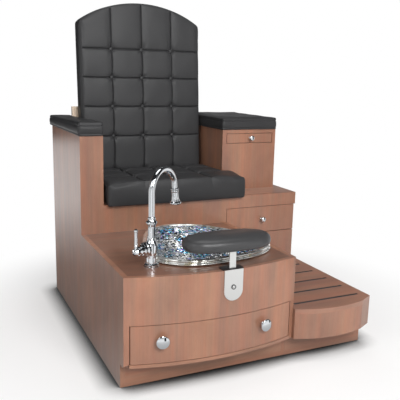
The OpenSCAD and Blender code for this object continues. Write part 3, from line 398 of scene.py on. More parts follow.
cherryTones = ("#956C5A", "#A0735D", "#AA7A60")
recipes = {  # finish: the material's name, how it is built, and its values
    "standing": ("cherry_laminate_standing", laminate, "Z", cherryTones, 0.34),
    "lying": ("cherry_laminate_lying", laminate, "X", ("#70503F", "#7C5847", "#885F4B"), 0.34),
    "lengthwise": ("cherry_laminate_lengthwise", laminate, "X", cherryTones, 0.36),
    # paler tones than the other cherry boards: a painted sheen for the reflected light on the deck's
    # top
    "deckBoard": ("cherry_laminate_deck", laminate, "X", ("#A48071", "#AF8B7C", "#B79385"), 0.30),
    "treadBoard": ("cherry_laminate_tread", laminate, "X", ("#93695A", "#A0735F", "#AA7A63"), 0.36),
    "birch": ("birch_board", laminate, "Z", ("#DCC3A9", "#E2CCB4", "#E8D6C0"), 0.50),
    "vinyl": ("charcoal_vinyl", vinyl, "#343435", "#3B3B3C", 0.43, 2.2, 0.22),
    "glossVinyl": ("charcoal_vinyl_gloss", vinyl, "#3C3C3D", "#424243", 0.31, 2.0, 0.42),
    "chrome": ("polished_chrome", plated, "#DDE0E3", 0.05, 0.02),
    "steel": ("satin_nickel_steel", plated, "#E6E6E4", 0.28, 0.25),
    "zinc": ("zinc_plated_steel", plated, "#AEB4B8", 0.34, 0.3),
    "rubber": ("ribbed_black_rubber", moulded, "#2B2D30", 0.62, 0.8),
    "plastic": ("moulded_black_plastic", moulded, "#1B1C1E", 0.42, 1.2),
    "brass": ("machined_brass", plated, "#C4A15A", 0.24, 0.25),
    "mosaic": ("mosaic_foil_glass", mosaicGlass, mosaicShape),
    "silvered": ("silvered_glass_rim", silveredGlass),
    "thread": ("charcoal_thread", moulded, "#4A4A4C", 0.6, 0.6),
}
finishes = {finish: newMaterial(*recipe) for finish, recipe in recipes.items()}

nodeFinish = {
    "standing": ["left_side_panel", "divider_panel", "right_side_panel", "rear_panel",
                 "front_fascia", "seat_front_panel", "side_lower_panel", "left_arm_front",
                 "left_arm_inner_panel", "right_arm_front", "right_arm_inner_panel",
                 "right_arm_outer_panel", "step_fascia", "step_side_panel", "front_drawer_face",
                 "side_drawer_face", "arm_tray_face"],
    "lying": ["platform_top"],
    "treadBoard": ["step_top"],
    "deckBoard": ["seat_deck"],
    "lengthwise": ["plinth_front", "step_plinth", "floor_panel"],
    "birch": ["right_arm_top", "backboard", "front_drawer_box", "side_drawer_box",
              "arm_tray_board"],
    "vinyl": ["back_buttons", "seat_cushion", "back_cushion", "left_arm_cushion",
              "right_arm_cushion", "footrest_pad"],
    "chrome": ["drain_flange", "tailpiece", "faucet_flange", "faucet_body", "faucet_spout",
               "spray_head", "handle_hub", "faucet_lever", "drain_stopper", "side_drawer_knob",
               "front_drawer_knobs", "arm_tray_knob"],
    "steel": ["footrest_strap", "footrest_front_plate", "front_plate_screw"],
    "zinc": ["drawer_slides", "tray_guides", "front_drawer_runners", "side_drawer_runners",
             "faucet_nut"],
    "rubber": ["step_tread_strips", "bowl_gasket"],
    "plastic": ["footrest_receiver"],
    "brass": ["faucet_shank"],
    "mosaic": ["bowl"],
}


def paint(piece, *coats):
    piece.data.materials.clear()
    for coat in coats:
        piece.data.materials.append(finishes[coat])


for finish, names in nodeFinish.items():
    for name in names:
        paint(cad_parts[name], finish)
print("materials ready")

# Meshes: rings of points, quads between them, and faces turned outwards


def smooth(t):
    t = min(1.0, max(0.0, t))
    return t * t * (3 - 2 * t)


def ringNumbers(rows, count, first=0):
    return [[first + r * count + k for k in range(count)] for r in range(rows)]


def bridge(rings):
    faces = []
    for upper, lower in zip(rings, rings[1:]):
        count = len(upper)
        faces += [(upper[k], lower[k], lower[(k + 1) % count], upper[(k + 1) % count])
                  for k in range(count)]
    return faces


def editMesh(mesh, change):
    work = bmesh.new()
    work.from_mesh(mesh)
    change(work)
    work.to_mesh(mesh)
    work.free()


def faceOut(work):
    bmesh.ops.recalc_face_normals(work, faces=work.faces)


def shadeSmooth(mesh, corners=math.inf):  # faces with more corners than this stay flat
    for face in mesh.polygons:
        face.use_smooth = len(face.vertices) <= corners


def makePiece(name, spots, faces):
    mesh = bpy.data.meshes.new(name)
    mesh.from_pydata(spots, [], faces)
    editMesh(mesh, faceOut)
    piece = bpy.data.objects.new(name, mesh)
    scene.collection.objects.link(piece)
    return piece


def addLayer(mesh, name, values):
    layer = mesh.attributes.new(name, "FLOAT_VECTOR", "POINT")
    for k, value in enumerate(values):
        layer.data[k].vector = value


def bakeModifier(piece, modifier):  # the evaluated shape becomes the piece's own mesh
    shaped = piece.evaluated_get(bpy.context.evaluated_depsgraph_get())
    mesh = bpy.data.meshes.new_from_object(shaped)
    piece.modifiers.remove(modifier)
    piece.data = mesh


def carry(piece, body, node=None):
    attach(piece, body)
    if node:
        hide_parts(node)


# Upholstery: all sizes in millimetres, with u and v as the places on a pad's flat pattern

# the cloth simulation's settings, and how little a point may move to count as still, in metres
cover = {"frames": 20, "quality": 6, "mass": 0.3, "damping": 4.0, "stretch": 25, "shear": 12,
         "bend": 0.8, "still": 1e-7}
# what all creases share; each pad's own "stitch" gives their depths and widths
crease = {"edgeShare": 0.35, "puckerFrom": 40, "swingLength": 22, "swingFade": 60, "puckerFade": 11,
          "swings": 6, "tuftFrom": 60, "tuftSize": 13, "folds": 7, "foldTurn": 50, "foldRing": 16,
          "waves": (70, 90), "acrossSeed": 3.1, "alongSeed": 7.7, "waveSeed": 1.7, "faceFrom": 0.02}


def gridLines(edges, fine, spacing):  # lines across a face, close together beside each inner crease
    lines = []
    for k in range(len(edges) - 1):
        a, b = edges[k], edges[k + 1]
        after = fine if k > 0 else ()
        before = fine if k < len(edges) - 2 else ()
        start = a + (after[-1] if after else 0)
        stop = b - (before[-1] if before else 0)
        steps = max(1, round((stop - start) / spacing))
        lines += [a] + [a + f for f in after]
        lines += [start + (stop - start) * i / steps for i in range(1, steps)]
        lines += [b - f for f in reversed(before)]
    return lines + [edges[-1]]


def inset(low, cuts, high, roll):
    return [low + roll, *cuts, high - roll]


def rollRings(thick, roll, steps=5):  # from the face's edge round to the side: (outwards, height)
    turns = [math.pi / 2 * (i + 1) / steps for i in range(steps)]
    return [(roll * math.sin(a), thick - roll + roll * math.cos(a)) for a in turns]


def boxedSides(thick, roll, seam, sink):  # a side band between two sewn seams, then a turned-in foot
    top, foot = thick - roll - seam, seam
    return rollRings(thick, roll) + [
        (roll + 0.4, top + 3), (roll - 0.2, top + 1.6), (roll - sink, top), (roll - 0.2, top - 1.6),
        (roll + 0.6, top - 5), (roll + 1.0, (top + foot) / 2), (roll + 0.6, foot + 5),
        (roll - 0.2, foot + 1.6), (roll - sink, foot), (roll - 0.2, foot - 1.6),
        (roll, foot * 0.35), (roll - 2, 0.4), (roll - 6, 0)]


def plainSides(thick, roll, bulge):
    low = thick - roll
    return rollRings(thick, roll) + [
        (roll + bulge * 0.6, low * 0.85), (roll + bulge, low * 0.62), (roll + bulge, low * 0.40),
        (roll + bulge * 0.5, low * 0.18), (roll - 0.6, 3.5), (roll - 2.5, 0.6), (roll - 7, 0)]


def softSkin(name, spots, faces, plan, pins):
    piece = makePiece(name, spots, faces)
    addLayer(piece.data, "plan", plan)
    piece.vertex_groups.new(name="pins").add(pins, 1.0, "REPLACE")
    return piece


def quiltMesh(name, pad):  # grid face, rings down the sides and a flat foot, all one closed skin
    gx, gy = (gridLines(pad[way], pad["fine"], pad["spacing"]) for way in ("across", "along"))
    nx, ny = len(gx), len(gy)
    spots, plan, pins = [], [], []

    def addSpot(u, v, x, y, w, face, pinned):
        spots.append(pad["stand"](x, y, w))
        plan.append((u, v, face))
        if pinned:
            pins.append(len(spots) - 1)

    crossX, crossY = set(pad["across"][1:-1]), set(pad["along"][1:-1])
    for v in gy:
        for u in gx:
            x, y = pad["place"](u, v)
            addSpot(u, v, x, y, pad["thick"] + pad["height"](u, v), 1.0, u in crossX or v in crossY)
    rim = [(i, 0) for i in range(nx)] + [(nx - 1, j) for j in range(1, ny)]
    rim += [(i, ny - 1) for i in range(nx - 2, -1, -1)] + [(0, j) for j in range(ny - 2, 0, -1)]
    n = len(rim)
    edge = [Vector(pad["place"](gx[i], gy[j])) for i, j in rim]
    outs = []
    for k in range(n):
        ahead, behind = edge[(k + 1) % n] - edge[k], edge[k] - edge[k - 1]
        out = (ahead.normalized() + behind.normalized()).normalized()
        square = Vector((ahead.y, -ahead.x)).normalized()
        out = Vector((out.y, -out.x))
        outs.append(out / max(pad["corner"], out.dot(square)))  # a low value keeps corners sharp
    for r, (reach, w) in enumerate(pad["sides"]):
        for k, (i, j) in enumerate(rim):
            spot = edge[k] + outs[k] * reach
            dip = pad["height"](gx[i], gy[j]) * max(0.0, 1 - r / 4)
            pinned = r >= len(pad["sides"]) - pad["held"]
            addSpot(gx[i], gy[j], spot.x, spot.y, w + dip, 0.0, pinned)
    faces = []
    for j in range(ny - 1):
        for i in range(nx - 1):
            a = j * nx + i
            faces.append((a, a + 1, a + nx + 1, a + nx))
    rings = [[j * nx + i for i, j in rim]] + ringNumbers(len(pad["sides"]), n, nx * ny)
    faces += bridge(rings)
    faces.append(tuple(reversed(rings[-1])))
    return softSkin(name, spots, faces, plan, pins), rings


def pillow(u, v, cutsX, cutsY, rise, reach):  # level tops that fall to nothing at each crease
    near = min([abs(u - c) for c in cutsX] + [abs(v - c) for c in cutsY])
    return rise * smooth(near / reach)


def inflate(piece, pressure, most):
    # foam pushes the cover out between its sewn creases: cloth with pressure, held at the pins,
    # and no point moves further than the most
    before = [v.co.copy() for v in piece.data.vertices]
    cloth = piece.modifiers.new("cover", "CLOTH")
    settings = cloth.settings
    settings.quality, settings.mass = cover["quality"], cover["mass"]
    settings.air_damping = cover["damping"]
    settings.tension_stiffness = settings.compression_stiffness = cover["stretch"]
    settings.shear_stiffness, settings.bending_stiffness = cover["shear"], cover["bend"]
    settings.use_pressure, settings.uniform_pressure_force = True, pressure
    settings.vertex_group_mass = "pins"
    settings.effector_weights.gravity = 0
    cloth.collision_settings.use_collision = False
    cloth.point_cache.frame_start, cloth.point_cache.frame_end = 1, cover["frames"]
    for frameNumber in range(1, cover["frames"] + 1):
        scene.frame_set(frameNumber)
    shaped = piece.evaluated_get(bpy.context.evaluated_depsgraph_get())
    after = [v.co.copy() for v in shaped.data.vertices]
    piece.modifiers.remove(cloth)
    scene.frame_set(1)
    cap = most * millimetre
    for vertex, a, b in zip(piece.data.vertices, before, after):
        move = b - a
        far = max(move.length, cover["still"])
        vertex.co = a + move * (cap * math.tanh(far / cap) / far)


def dropFoot(work):
    feet = [face for face in work.faces if len(face.verts) > 24]
    bmesh.ops.delete(work, geom=feet, context="FACES_ONLY")


def closeFoot(work):
    bmesh.ops.holes_fill(work, edges=[edge for edge in work.edges if edge.is_boundary], sides=0)
    faceOut(work)


def subdivide(piece):  # the many-sided foot is left out while the rest is smoothed, and then put back
    editMesh(piece.data, dropFoot)
    smoother = piece.modifiers.new("smoother", "SUBSURF")
    smoother.levels = smoother.render_levels = 1
    bakeModifier(piece, smoother)
    editMesh(piece.data, closeFoot)
    piece.vertex_groups.clear()


def creaseDepth(u, v, pad):  # sewn lines with puckers along them, and tufts where they cross
    stitch = pad["stitch"]
    deep, share = 0.0, 1.0
    if "ease" in stitch:  # how far in from the edges the creases reach their full depth
        side = min(u - pad["across"][0], pad["across"][-1] - u, v - pad["along"][0])
        share = crease["edgeShare"] + (1 - crease["edgeShare"]) * smooth(side / stitch["ease"])
    nearX = min(abs(u - c) for c in pad["across"][1:-1])
    nearY = min(abs(v - c) for c in pad["along"][1:-1])
    for near, run, seed in ((nearX, v, crease["acrossSeed"]), (nearY, u, crease["alongSeed"])):
        line = stitch["cut"] * math.exp(-(near / stitch["narrow"]) ** 2)
        line += stitch["dip"] * math.exp(-near / stitch["wide"])
        deep = max(deep, line * share)
        if near < crease["puckerFrom"]:
            swing = noise.noise(Vector((run / crease["swingLength"], seed, near / crease["swingFade"])))
            ripple = math.sin(run / stitch["pucker"] * 2 * math.pi + crease["swings"] * swing)
            deep += stitch["ripple"] * ripple * abs(swing) * 2 * math.exp(-near / crease["puckerFade"])
    if nearX < crease["tuftFrom"] and nearY < crease["tuftFrom"]:
        far, size = math.hypot(nearX, nearY), crease["tuftSize"]
        turn = crease["folds"] * math.atan2(nearY, nearX) + u / crease["foldTurn"]
        deep += stitch["tuft"] * math.exp(-(far / size) ** 2)
        deep += stitch["fold"] * math.cos(turn) * math.exp(-((far - crease["foldRing"]) / size) ** 2)
    return deep


def sew(piece, pad):  # creases and a little unevenness, pressed in along one way
    acrossWave, alongWave = crease["waves"]
    for vertex, spot in zip(piece.data.vertices, piece.data.attributes["plan"].data):
        u, v, face = spot.vector
        if face < crease["faceFrom"]:
            continue
        deep = creaseDepth(u, v, pad) if "cut" in pad["stitch"] else 0.0
        spread = Vector((u / acrossWave, v / alongWave, crease["waveSeed"]))
        deep += pad["stitch"]["wave"] * noise.noise(spread)
        vertex.co -= pad["press"] * (deep * face * millimetre)


def upholster(piece, pad):
    inflate(piece, *pad["puff"])
    subdivide(piece)
    sew(piece, pad)


def dress(piece, finish, body, node):
    paint(piece, finish)
    shadeSmooth(piece.data)
    carry(piece, body, node)


# Back cushion: flat panels with thin sewn creases that swing aside below each button

backShape = {"left": 105.0, "right": 681.0, "foot": 517.0, "roll": 11.0, "thick": 86.5, "seam": 9.0,
             "archTop": 1348.0, "cornerZ": 1260.0, "archMiddle": 393.0, "archHalf": 287.0,
             "footY": 949.04, "seatZ": 515.0, "leanSin": 0.0797452, "leanCos": 0.9968153,
             "sway": 3.0, "swayLength": 125.0, "swayReach": 55, "sag": 1.6, "sagReach": 40,
             "panelLeft": 106, "panelWide": 143.5, "cell": 1.5, "cellReach": 30}
backCuts = [247.0, 391.0, 536.0]
backRows = [592.0, 749.0, 883.0, 1013.0, 1139.0]


def archZ(x):
    half, rise = backShape["archHalf"], backShape["archTop"] - backShape["cornerZ"]
    radius = (half * half + rise * rise) / (2 * rise)
    fall = radius ** 2 - (x - backShape["archMiddle"]) ** 2
    return backShape["archTop"] - radius + math.sqrt(max(0.0, fall))


def backStand(x, z, w):
    v = z - backShape["seatZ"]
    return at(x, backShape["footY"] + v * backShape["leanSin"] - w * backShape["leanCos"],
              backShape["seatZ"] + v * backShape["leanCos"] + w * backShape["leanSin"])


def backPlace(u, v):
    shape, last = backShape, backRows[-1]
    below = min([row - v for row in backRows if row >= v] + [shape["swayLength"]])
    swing = shape["sway"] * math.sin(math.pi * below / shape["swayLength"])
    middle = max(0.0, 1 - min(abs(u - c) for c in backCuts) / shape["swayReach"])
    x = u + swing * smooth(middle)
    if v > last:  # the top row of panels stretches up to the arch
        edge = shape["cornerZ"] - shape["roll"]
        return x, last + (v - last) / (edge - last) * (archZ(u) - shape["roll"] - last)
    near = max(0.0, 1 - min(abs(v - row) for row in backRows) / shape["sagReach"])
    hang = math.sin(math.pi * (u - shape["panelLeft"]) / shape["panelWide"])
    return x, v - abs(shape["sag"] * hang * near)


def backHeight(u, v):
    return pillow(u, v, backCuts, backRows, backShape["cell"], backShape["cellReach"])


backPad = {
    "across": inset(backShape["left"], backCuts, backShape["right"], backShape["roll"]),
    "along": inset(backShape["foot"], backRows, backShape["cornerZ"], backShape["roll"]),
    "fine": (1.2, 2.8, 5.5, 10.5), "spacing": 11.0, "held": 6, "corner": 0.72,
    "thick": backShape["thick"],
    "sides": boxedSides(backShape["thick"], backShape["roll"], backShape["seam"], 1.6),
    "place": backPlace, "stand": backStand, "height": backHeight,
    "puff": (3.0, 2.2), "press": Vector((0, -backShape["leanCos"], backShape["leanSin"])),
    "stitch": {"cut": 5.0, "narrow": 2.0, "dip": 1.4, "wide": 5.0, "pucker": 15.0, "ripple": 0.6,
               "tuft": 9.0, "fold": 0.9, "wave": 1.3},
}
back, _ = quiltMesh("tufted_back", backPad)
upholster(back, backPad)
dress(back, "vinyl", "cabinet", "back_cushion")
print("back cushion sewn")

# Seat cushion: fuller cells, a smooth front and a right end cut back for the arm box

seatShape = {"left": 107.0, "right": 728.0, "inner": 692.0, "front": 487.5, "rear": 852.0,
             "foot": 515.3, "roll": 7.0, "thick": 82.5, "crown": 9.0, "crownReach": 120,
             "cell": 5.5, "cellReach": 26, "edgeRise": 4.5, "ease": 62.0,
             "notchFrom": 620.0, "notchEase": 28, "droop": 4.0, "deckFront": 512.0,
             "droopEase": 10, "droopHigh": 30}
seatCuts, seatRows = [262.0, 412.0, 562.0], [646.0, 782.0]


def seatHeight(u, v):  # full cells on a crown that falls away to the two front corners
    side = max(0.0, min(u - seatShape["left"], seatShape["right"] - u))
    depth = v - seatShape["front"]
    inside = smooth(min(side, depth) / seatShape["ease"])
    crown = seatShape["crown"] * smooth(math.hypot(side, depth) / seatShape["crownReach"])
    cell = pillow(u, v, seatCuts, seatRows, seatShape["cell"], seatShape["cellReach"])
    return crown + cell * inside + seatShape["edgeRise"] * (1 - inside)


def seatPlace(u, v):
    last = seatCuts[-1]
    if u <= last:
        return u, v
    edge = seatShape["right"] - seatShape["roll"]
    step = (seatShape["inner"] - seatShape["right"]) * smooth(
        (v - seatShape["notchFrom"]) / seatShape["notchEase"])
    return last + (u - last) * (edge + step - last) / (edge - last), v


def seatStand(x, y, w):  # the foot hangs a little over the deck's front
    hang = smooth((seatShape["deckFront"] - y) / seatShape["droopEase"])
    hang *= max(0.0, 1 - w / seatShape["droopHigh"])
    return at(x, y, seatShape["foot"] + w - seatShape["droop"] * hang)


seatPad = {
    "across": inset(seatShape["left"], seatCuts, seatShape["right"], seatShape["roll"]),
    "along": inset(seatShape["front"], seatRows, seatShape["rear"], seatShape["roll"]),
    "fine": (1.3, 3.2, 6.5, 11.5), "spacing": 10.0, "held": 3, "corner": 0.72,
    "thick": seatShape["thick"],
    "sides": plainSides(seatShape["thick"], seatShape["roll"], 0.8),
    "place": seatPlace, "stand": seatStand, "height": seatHeight,
    "puff": (4.0, 4.5), "press": Vector((0, 0, 1)),
    "stitch": {"cut": 11.0, "narrow": 2.7, "dip": 4.5, "wide": 8.0, "pucker": 21.0, "ripple": 2.8,
               "tuft": 9.0, "fold": 3.4, "wave": 1.8, "ease": 50.0},
}
seat, _ = quiltMesh("tufted_seat", seatPad)
upholster(seat, seatPad)
dress(seat, "vinyl", "cabinet", "seat_cushion")
print("seat cushion sewn")

# Arm pads: boxed, with a sewn band round the side

armPads = {
    "left_arm_pad": {"node": "left_arm_cushion", "left": -6.0, "right": 94.0, "front": 506.0,
                     "thins": 0.19, "slot": ((77.0, 100.0), (969.5, 997.5), (790.0, 900.0))},
    "right_arm_pad": {"node": "right_arm_cushion", "left": 690.0, "right": 978.0, "front": 655.0,
                      "thins": 0.0, "slot": None},
}
armMake = {"rear": 1082.0, "foot": 794.2, "thick": 53.0, "roll": 5.0, "seam": 8.0, "crown": 1.0,
           "crownPower": 2.5, "wave": 1.4, "stitchRing": 7}  # the ring just above the upper seam


def boxCut(piece, slot):  # leaves room for the backboard's shoulder
    spots = [at(x, y, z) for x in slot[0] for y in slot[1] for z in slot[2]]
    cutter = makePiece("slot_cutter", spots, [(0, 1, 3, 2), (4, 6, 7, 5), (0, 4, 5, 1), (2, 3, 7, 6),
                                              (0, 2, 6, 4), (1, 5, 7, 3)])
    cut = piece.modifiers.new("slot", "BOOLEAN")
    cut.object, cut.operation, cut.solver = cutter, "DIFFERENCE", "EXACT"
    bakeModifier(piece, cut)
    bpy.data.objects.remove(cutter)


def makeArmPad(name, arm):  # returns the ring of points that the top stitches follow
    roll, rear = armMake["roll"], armMake["rear"]
    middle, halfWide = (arm["left"] + arm["right"]) / 2, (arm["right"] - arm["left"]) / 2 - roll

    def place(u, v):
        return u, v

    def stand(x, y, w):
        thin = arm["thins"] * smooth((y - arm["front"]) / (rear - arm["front"]))
        return at(x, y, armMake["foot"] + w * (1 - thin))

    def height(u, v):
        return armMake["crown"] * (1 - (abs(u - middle) / halfWide) ** armMake["crownPower"])

    pad = {
        "across": inset(arm["left"], [], arm["right"], roll),
        "along": inset(arm["front"], [], rear, roll),
        "fine": (), "spacing": 9.0, "held": 4, "corner": 0.74, "thick": armMake["thick"],
        "sides": boxedSides(armMake["thick"], roll, armMake["seam"], 2.0),
        "place": place, "stand": stand, "height": height,
        "puff": (4.0, 2.5), "press": Vector((0, 0, 1)), "stitch": {"wave": armMake["wave"]},
    }
    piece, rings = quiltMesh(name, pad)
    upholster(piece, pad)
    seam = [piece.data.vertices[k].co.copy() for k in rings[armMake["stitchRing"]]]
    if arm["slot"]:
        boxCut(piece, arm["slot"])
    dress(piece, "vinyl", "cabinet", arm["node"])
    return seam


padSeams = {name: makeArmPad(name, arm) for name, arm in armPads.items()}
print("arm pads sewn")

# Bowl: a lobed glass basin whose rim is two polished beads with a groove between

bowlShape = {"middle": (382.0, 210.0), "mean": 247.0, "lobes": 3, "lobe": 24.0, "lobeTurn": 22,
             "oval": 5.0, "roundAt": 223, "roundPower": 1.5, "top": 400.0, "steps": 192,
             "twist": 0.9, "twistLength": 200, "rowRadius": 0.2, "flakedLip": 3,
             # (in from the outline, height) down the inside, back up the outside and round the rim
             "inside": [(24.6, 13.6), (26.4, 9.6), (28.6, 5.0), (30.8, 0.6), (33.2, -8), (36, -20),
                        (38.6, -32), (42.2, -46), (47.2, -59), (54.5, -73), (64, -88), (75, -101),
                        (91, -114), (112, -124.6), (135, -131.5), (160, -135.8), (190, -137.6),
                        (223, -138.5)],
             "under": [(223, -148), (205, -148), (160, -145), (110, -134), (64, -104), (38, -60),
                       (28, -20)],
             "rim": [(24, 2), (12, 2), (5, 2.0), (2.2, 2.4), (0.5, 3.8), (0.1, 5.6), (0.8, 7.8),
                     (2.6, 9.6), (4.8, 10.4), (5.6, 11.4), (4.8, 12.4), (3.0, 13.8), (2.0, 16.0),
                     (2.4, 19.2), (4.4, 22.0), (7.4, 23.6), (11.0, 23.9), (14.5, 23.0), (18.0, 20.6),
                     (20.6, 17.4), (22.0, 15.6), (23.6, 15.0)]}


def bowlBulge(turn):  # how far the outline stands out of a plain circle
    lobes = math.cos(bowlShape["lobes"] * (turn + math.radians(bowlShape["lobeTurn"])))
    return bowlShape["lobe"] * lobes + bowlShape["oval"] * math.cos(2 * (turn - math.pi / 2))


def makeBowl(shape):
    profile = shape["inside"] + shape["under"] + shape["rim"]
    count = shape["steps"]
    spots, rows, depth = [], [], 0.0
    for k, (inward, high) in enumerate(profile):
        if k:
            depth += math.hypot(inward - profile[k - 1][0], high - profile[k - 1][1])
        keep = 1 - min(1, inward / shape["roundAt"]) ** shape["roundPower"]
        for step in range(count):
            turn = 2 * math.pi * step / count
            reach = shape["mean"] + bowlBulge(turn) * keep - inward
            spots.append(at(shape["middle"][0] + reach * math.cos(turn),
                            shape["middle"][1] + reach * math.sin(turn), shape["top"] + high))
            spin = turn + shape["twist"] * depth / shape["twistLength"]
            rows.append((shape["rowRadius"] * math.cos(spin), shape["rowRadius"] * math.sin(spin),
                         depth * millimetre))
    rings = ringNumbers(len(profile), count)
    piece = makePiece("lobed_glass_bowl", spots, bridge(rings + rings[:1]))
    addLayer(piece.data, "rows", rows)
    paint(piece, "mosaic", "silvered")
    flaked, lipped = len(shape["inside"]) - 1, len(profile) - shape["flakedLip"]
    for face in piece.data.polygons:
        flakes = face.index < flaked * count or face.index >= lipped * count
        face.material_index = 0 if flakes else 1
    shadeSmooth(piece.data)
    carry(piece, "cabinet", "bowl")


makeBowl(bowlShape)
print("bowl made")

# Footrest pad: a full oval with a soft ridge round its top

footPad = {"middle": (365.0, -42.0), "long": 322.0, "deep": 150.0, "foot": 466.3, "power": 2.6,
           "around": 96, "heldRings": 4, "faceFrom": 14, "faceEase": 20,
           # (in from the outline, height) from the foot up to the crown
           "rings": [(40, 0.0), (22, 0.0), (13, 0.8), (7, 3.2), (3.4, 7), (2.4, 9), (2.6, 10.5),
                     (1.2, 12.5), (0.4, 17), (0.4, 23), (1.6, 29), (4.5, 35), (9.5, 40.3), (16, 44),
                     (24, 46.3), (33, 47.6), (43, 48.4), (53, 48.9), (62, 49.2)],
           "puff": (4.0, 5.0), "press": Vector((0, 0, 1)), "stitch": {"wave": 0.9}}


def footOutline(turn, inward):
    c, s = math.cos(turn), math.sin(turn)
    power = 2 / footPad["power"]
    halfLong, halfDeep = footPad["long"] / 2 - inward, footPad["deep"] / 2 - inward
    return (footPad["middle"][0] + halfLong * math.copysign(abs(c) ** power, c),
            footPad["middle"][1] + halfDeep * math.copysign(abs(s) ** power, s))


def makeFootPad(pad):
    count, rows = pad["around"], len(pad["rings"])
    spots, plan = [], []
    for inward, high in pad["rings"]:
        for k in range(count):
            x, y = footOutline(2 * math.pi * k / count, inward)
            spots.append(at(x, y, pad["foot"] + high))
            plan.append((x, y, smooth((high - pad["faceFrom"]) / pad["faceEase"])))
    rings = ringNumbers(rows, count)
    faces = bridge(rings) + [tuple(reversed(rings[0]))]
    top, half = rings[-1], count // 2
    faces += [(top[0], top[1], top[-1]), (top[half - 1], top[half], top[half + 1])]
    faces += [(top[k], top[k + 1], top[-1 - k], top[-k]) for k in range(1, half - 1)]
    piece = softSkin("footrest_cushion", spots, faces, plan, list(range(count * pad["heldRings"])))
    upholster(piece, pad)
    dress(piece, "glossVinyl", "footrest", "footrest_pad")


makeFootPad(footPad)
print("footrest pad made")

# Turned knobs: chromed zinc, lathe-turned, so the curves run on without a facet

knobShapes = {  # (radius, height) from the foot to the tip
    "disc": [(8, 0), (8, 2), (5.5, 5), (5.5, 11), (9, 14), (18.5, 15.6), (22.3, 18),
             (22.5, 19.6), (21.4, 21.2), (17.5, 23.0), (12, 24.7), (6, 25.7), (0, 26)],
    "mushroom": [(7, 0), (7, 1.5), (4.5, 4), (4.5, 10), (8, 13), (11.2, 16), (12, 18.5), (10.8, 21.2),
                 (7, 23.2), (0, 24)],
}
turning = {"around": 72, "between": 5, "thinnest": 0.05}
bowFront = {"middle": 325.0, "bow": 50.0, "half": 325.0, "toe": 40.0, "columns": (122.0, 502.0),
            "high": 181.0}


def roundProfile(corners):  # a smooth curve through the corners
    curve, between = [], turning["between"]
    ends = [corners[0], *corners, corners[-1]]
    for four in zip(ends, ends[1:], ends[2:], ends[3:]):
        for t in (step / between for step in range(between)):
            reach, high = (0.5 * (2 * b + (c - a) * t + (2 * a - 5 * b + 4 * c - d) * t * t
                                  + (3 * b - a - 3 * c + d) * t ** 3) for a, b, c, d in zip(*four))
            curve.append((max(turning["thinnest"], reach), high))
    return curve


def makeKnobs(name, shape, feet, body, node):  # feet: (place of the foot, way out)
    curve, count = roundProfile(knobShapes[shape]), turning["around"]
    spots, faces = [], []
    for foot, out in feet:
        rings = ringNumbers(len(curve), count, len(spots))
        side = out.cross(Vector((0, 0, 1))).normalized()
        lift = side.cross(out)
        for reach, high in curve:
            for k in range(count):
                turn = 2 * math.pi * k / count
                spots.append(foot + (out * high + side * (reach * math.cos(turn))
                                     + lift * (reach * math.sin(turn))) * millimetre)
        tip, last = len(spots), rings[-1]
        spots.append(foot + out * (knobShapes[shape][-1][1] * millimetre))
        faces += bridge(rings) + [tuple(reversed(rings[0]))]
        faces += [(last[k], last[(k + 1) % count], tip) for k in range(count)]
    piece = makePiece(name, spots, faces)
    shadeSmooth(piece.data, corners=4)
    paint(piece, "chrome")
    carry(piece, body, node)


def bowFoot(x):  # a place on the bowed front, and the way straight out of it
    radius = (bowFront["half"] ** 2 + bowFront["bow"] ** 2) / (2 * bowFront["bow"])
    centre = radius - bowFront["bow"] - bowFront["toe"]
    back = math.sqrt(radius ** 2 - (x - bowFront["middle"]) ** 2)
    out = Vector((x - bowFront["middle"], -back, 0)).normalized()
    return at(x, centre - back, bowFront["high"]), out


def flatFoot(node):  # behind the middle of a knob that stands straight out of a flat front
    low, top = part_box(node)
    return Vector(((low.x + top.x) / 2, top.y, (low.z + top.z) / 2)), Vector((0, -1, 0))


makeKnobs("disc_knobs", "disc", [bowFoot(x) for x in bowFront["columns"]], "front_drawer",
          "front_drawer_knobs")
makeKnobs("mushroom_knob_side", "mushroom", [flatFoot("side_drawer_knob")], "side_drawer",
          "side_drawer_knob")
makeKnobs("mushroom_knob_tray", "mushroom", [flatFoot("arm_tray_knob")], "arm_tray", "arm_tray_knob")
print("knobs turned")

# Dark ring under the front plate's screw: a painted shadow for the gap round the screw, made as a thin
# black rubber ring

washerShape = {"middle": (370.0, -93.7, 340.0), "ring": 7.6, "wire": 1.0, "around": 48, "section": 10}


def makeWasher(shape):
    spots = []
    for a in range(shape["around"]):
        turn = 2 * math.pi * a / shape["around"]
        for b in range(shape["section"]):
            roll = 2 * math.pi * b / shape["section"]
            reach = shape["ring"] + shape["wire"] * math.cos(roll)
            spots.append(at(shape["middle"][0] + reach * math.cos(turn),
                            shape["middle"][1] - shape["wire"] * math.sin(roll),
                            shape["middle"][2] + reach * math.sin(turn)))
    rings = ringNumbers(shape["around"], shape["section"])
    piece = makePiece("plate_screw_washer", spots, bridge(rings + rings[:1]))
    shadeSmooth(piece.data)
    # black rubber here is painted shadow round the screw
    paint(piece, "rubber")
    carry(piece, "cabinet")


makeWasher(washerShape)

# Repeated details, spread by Geometry Nodes over a base mesh of points or seam lines


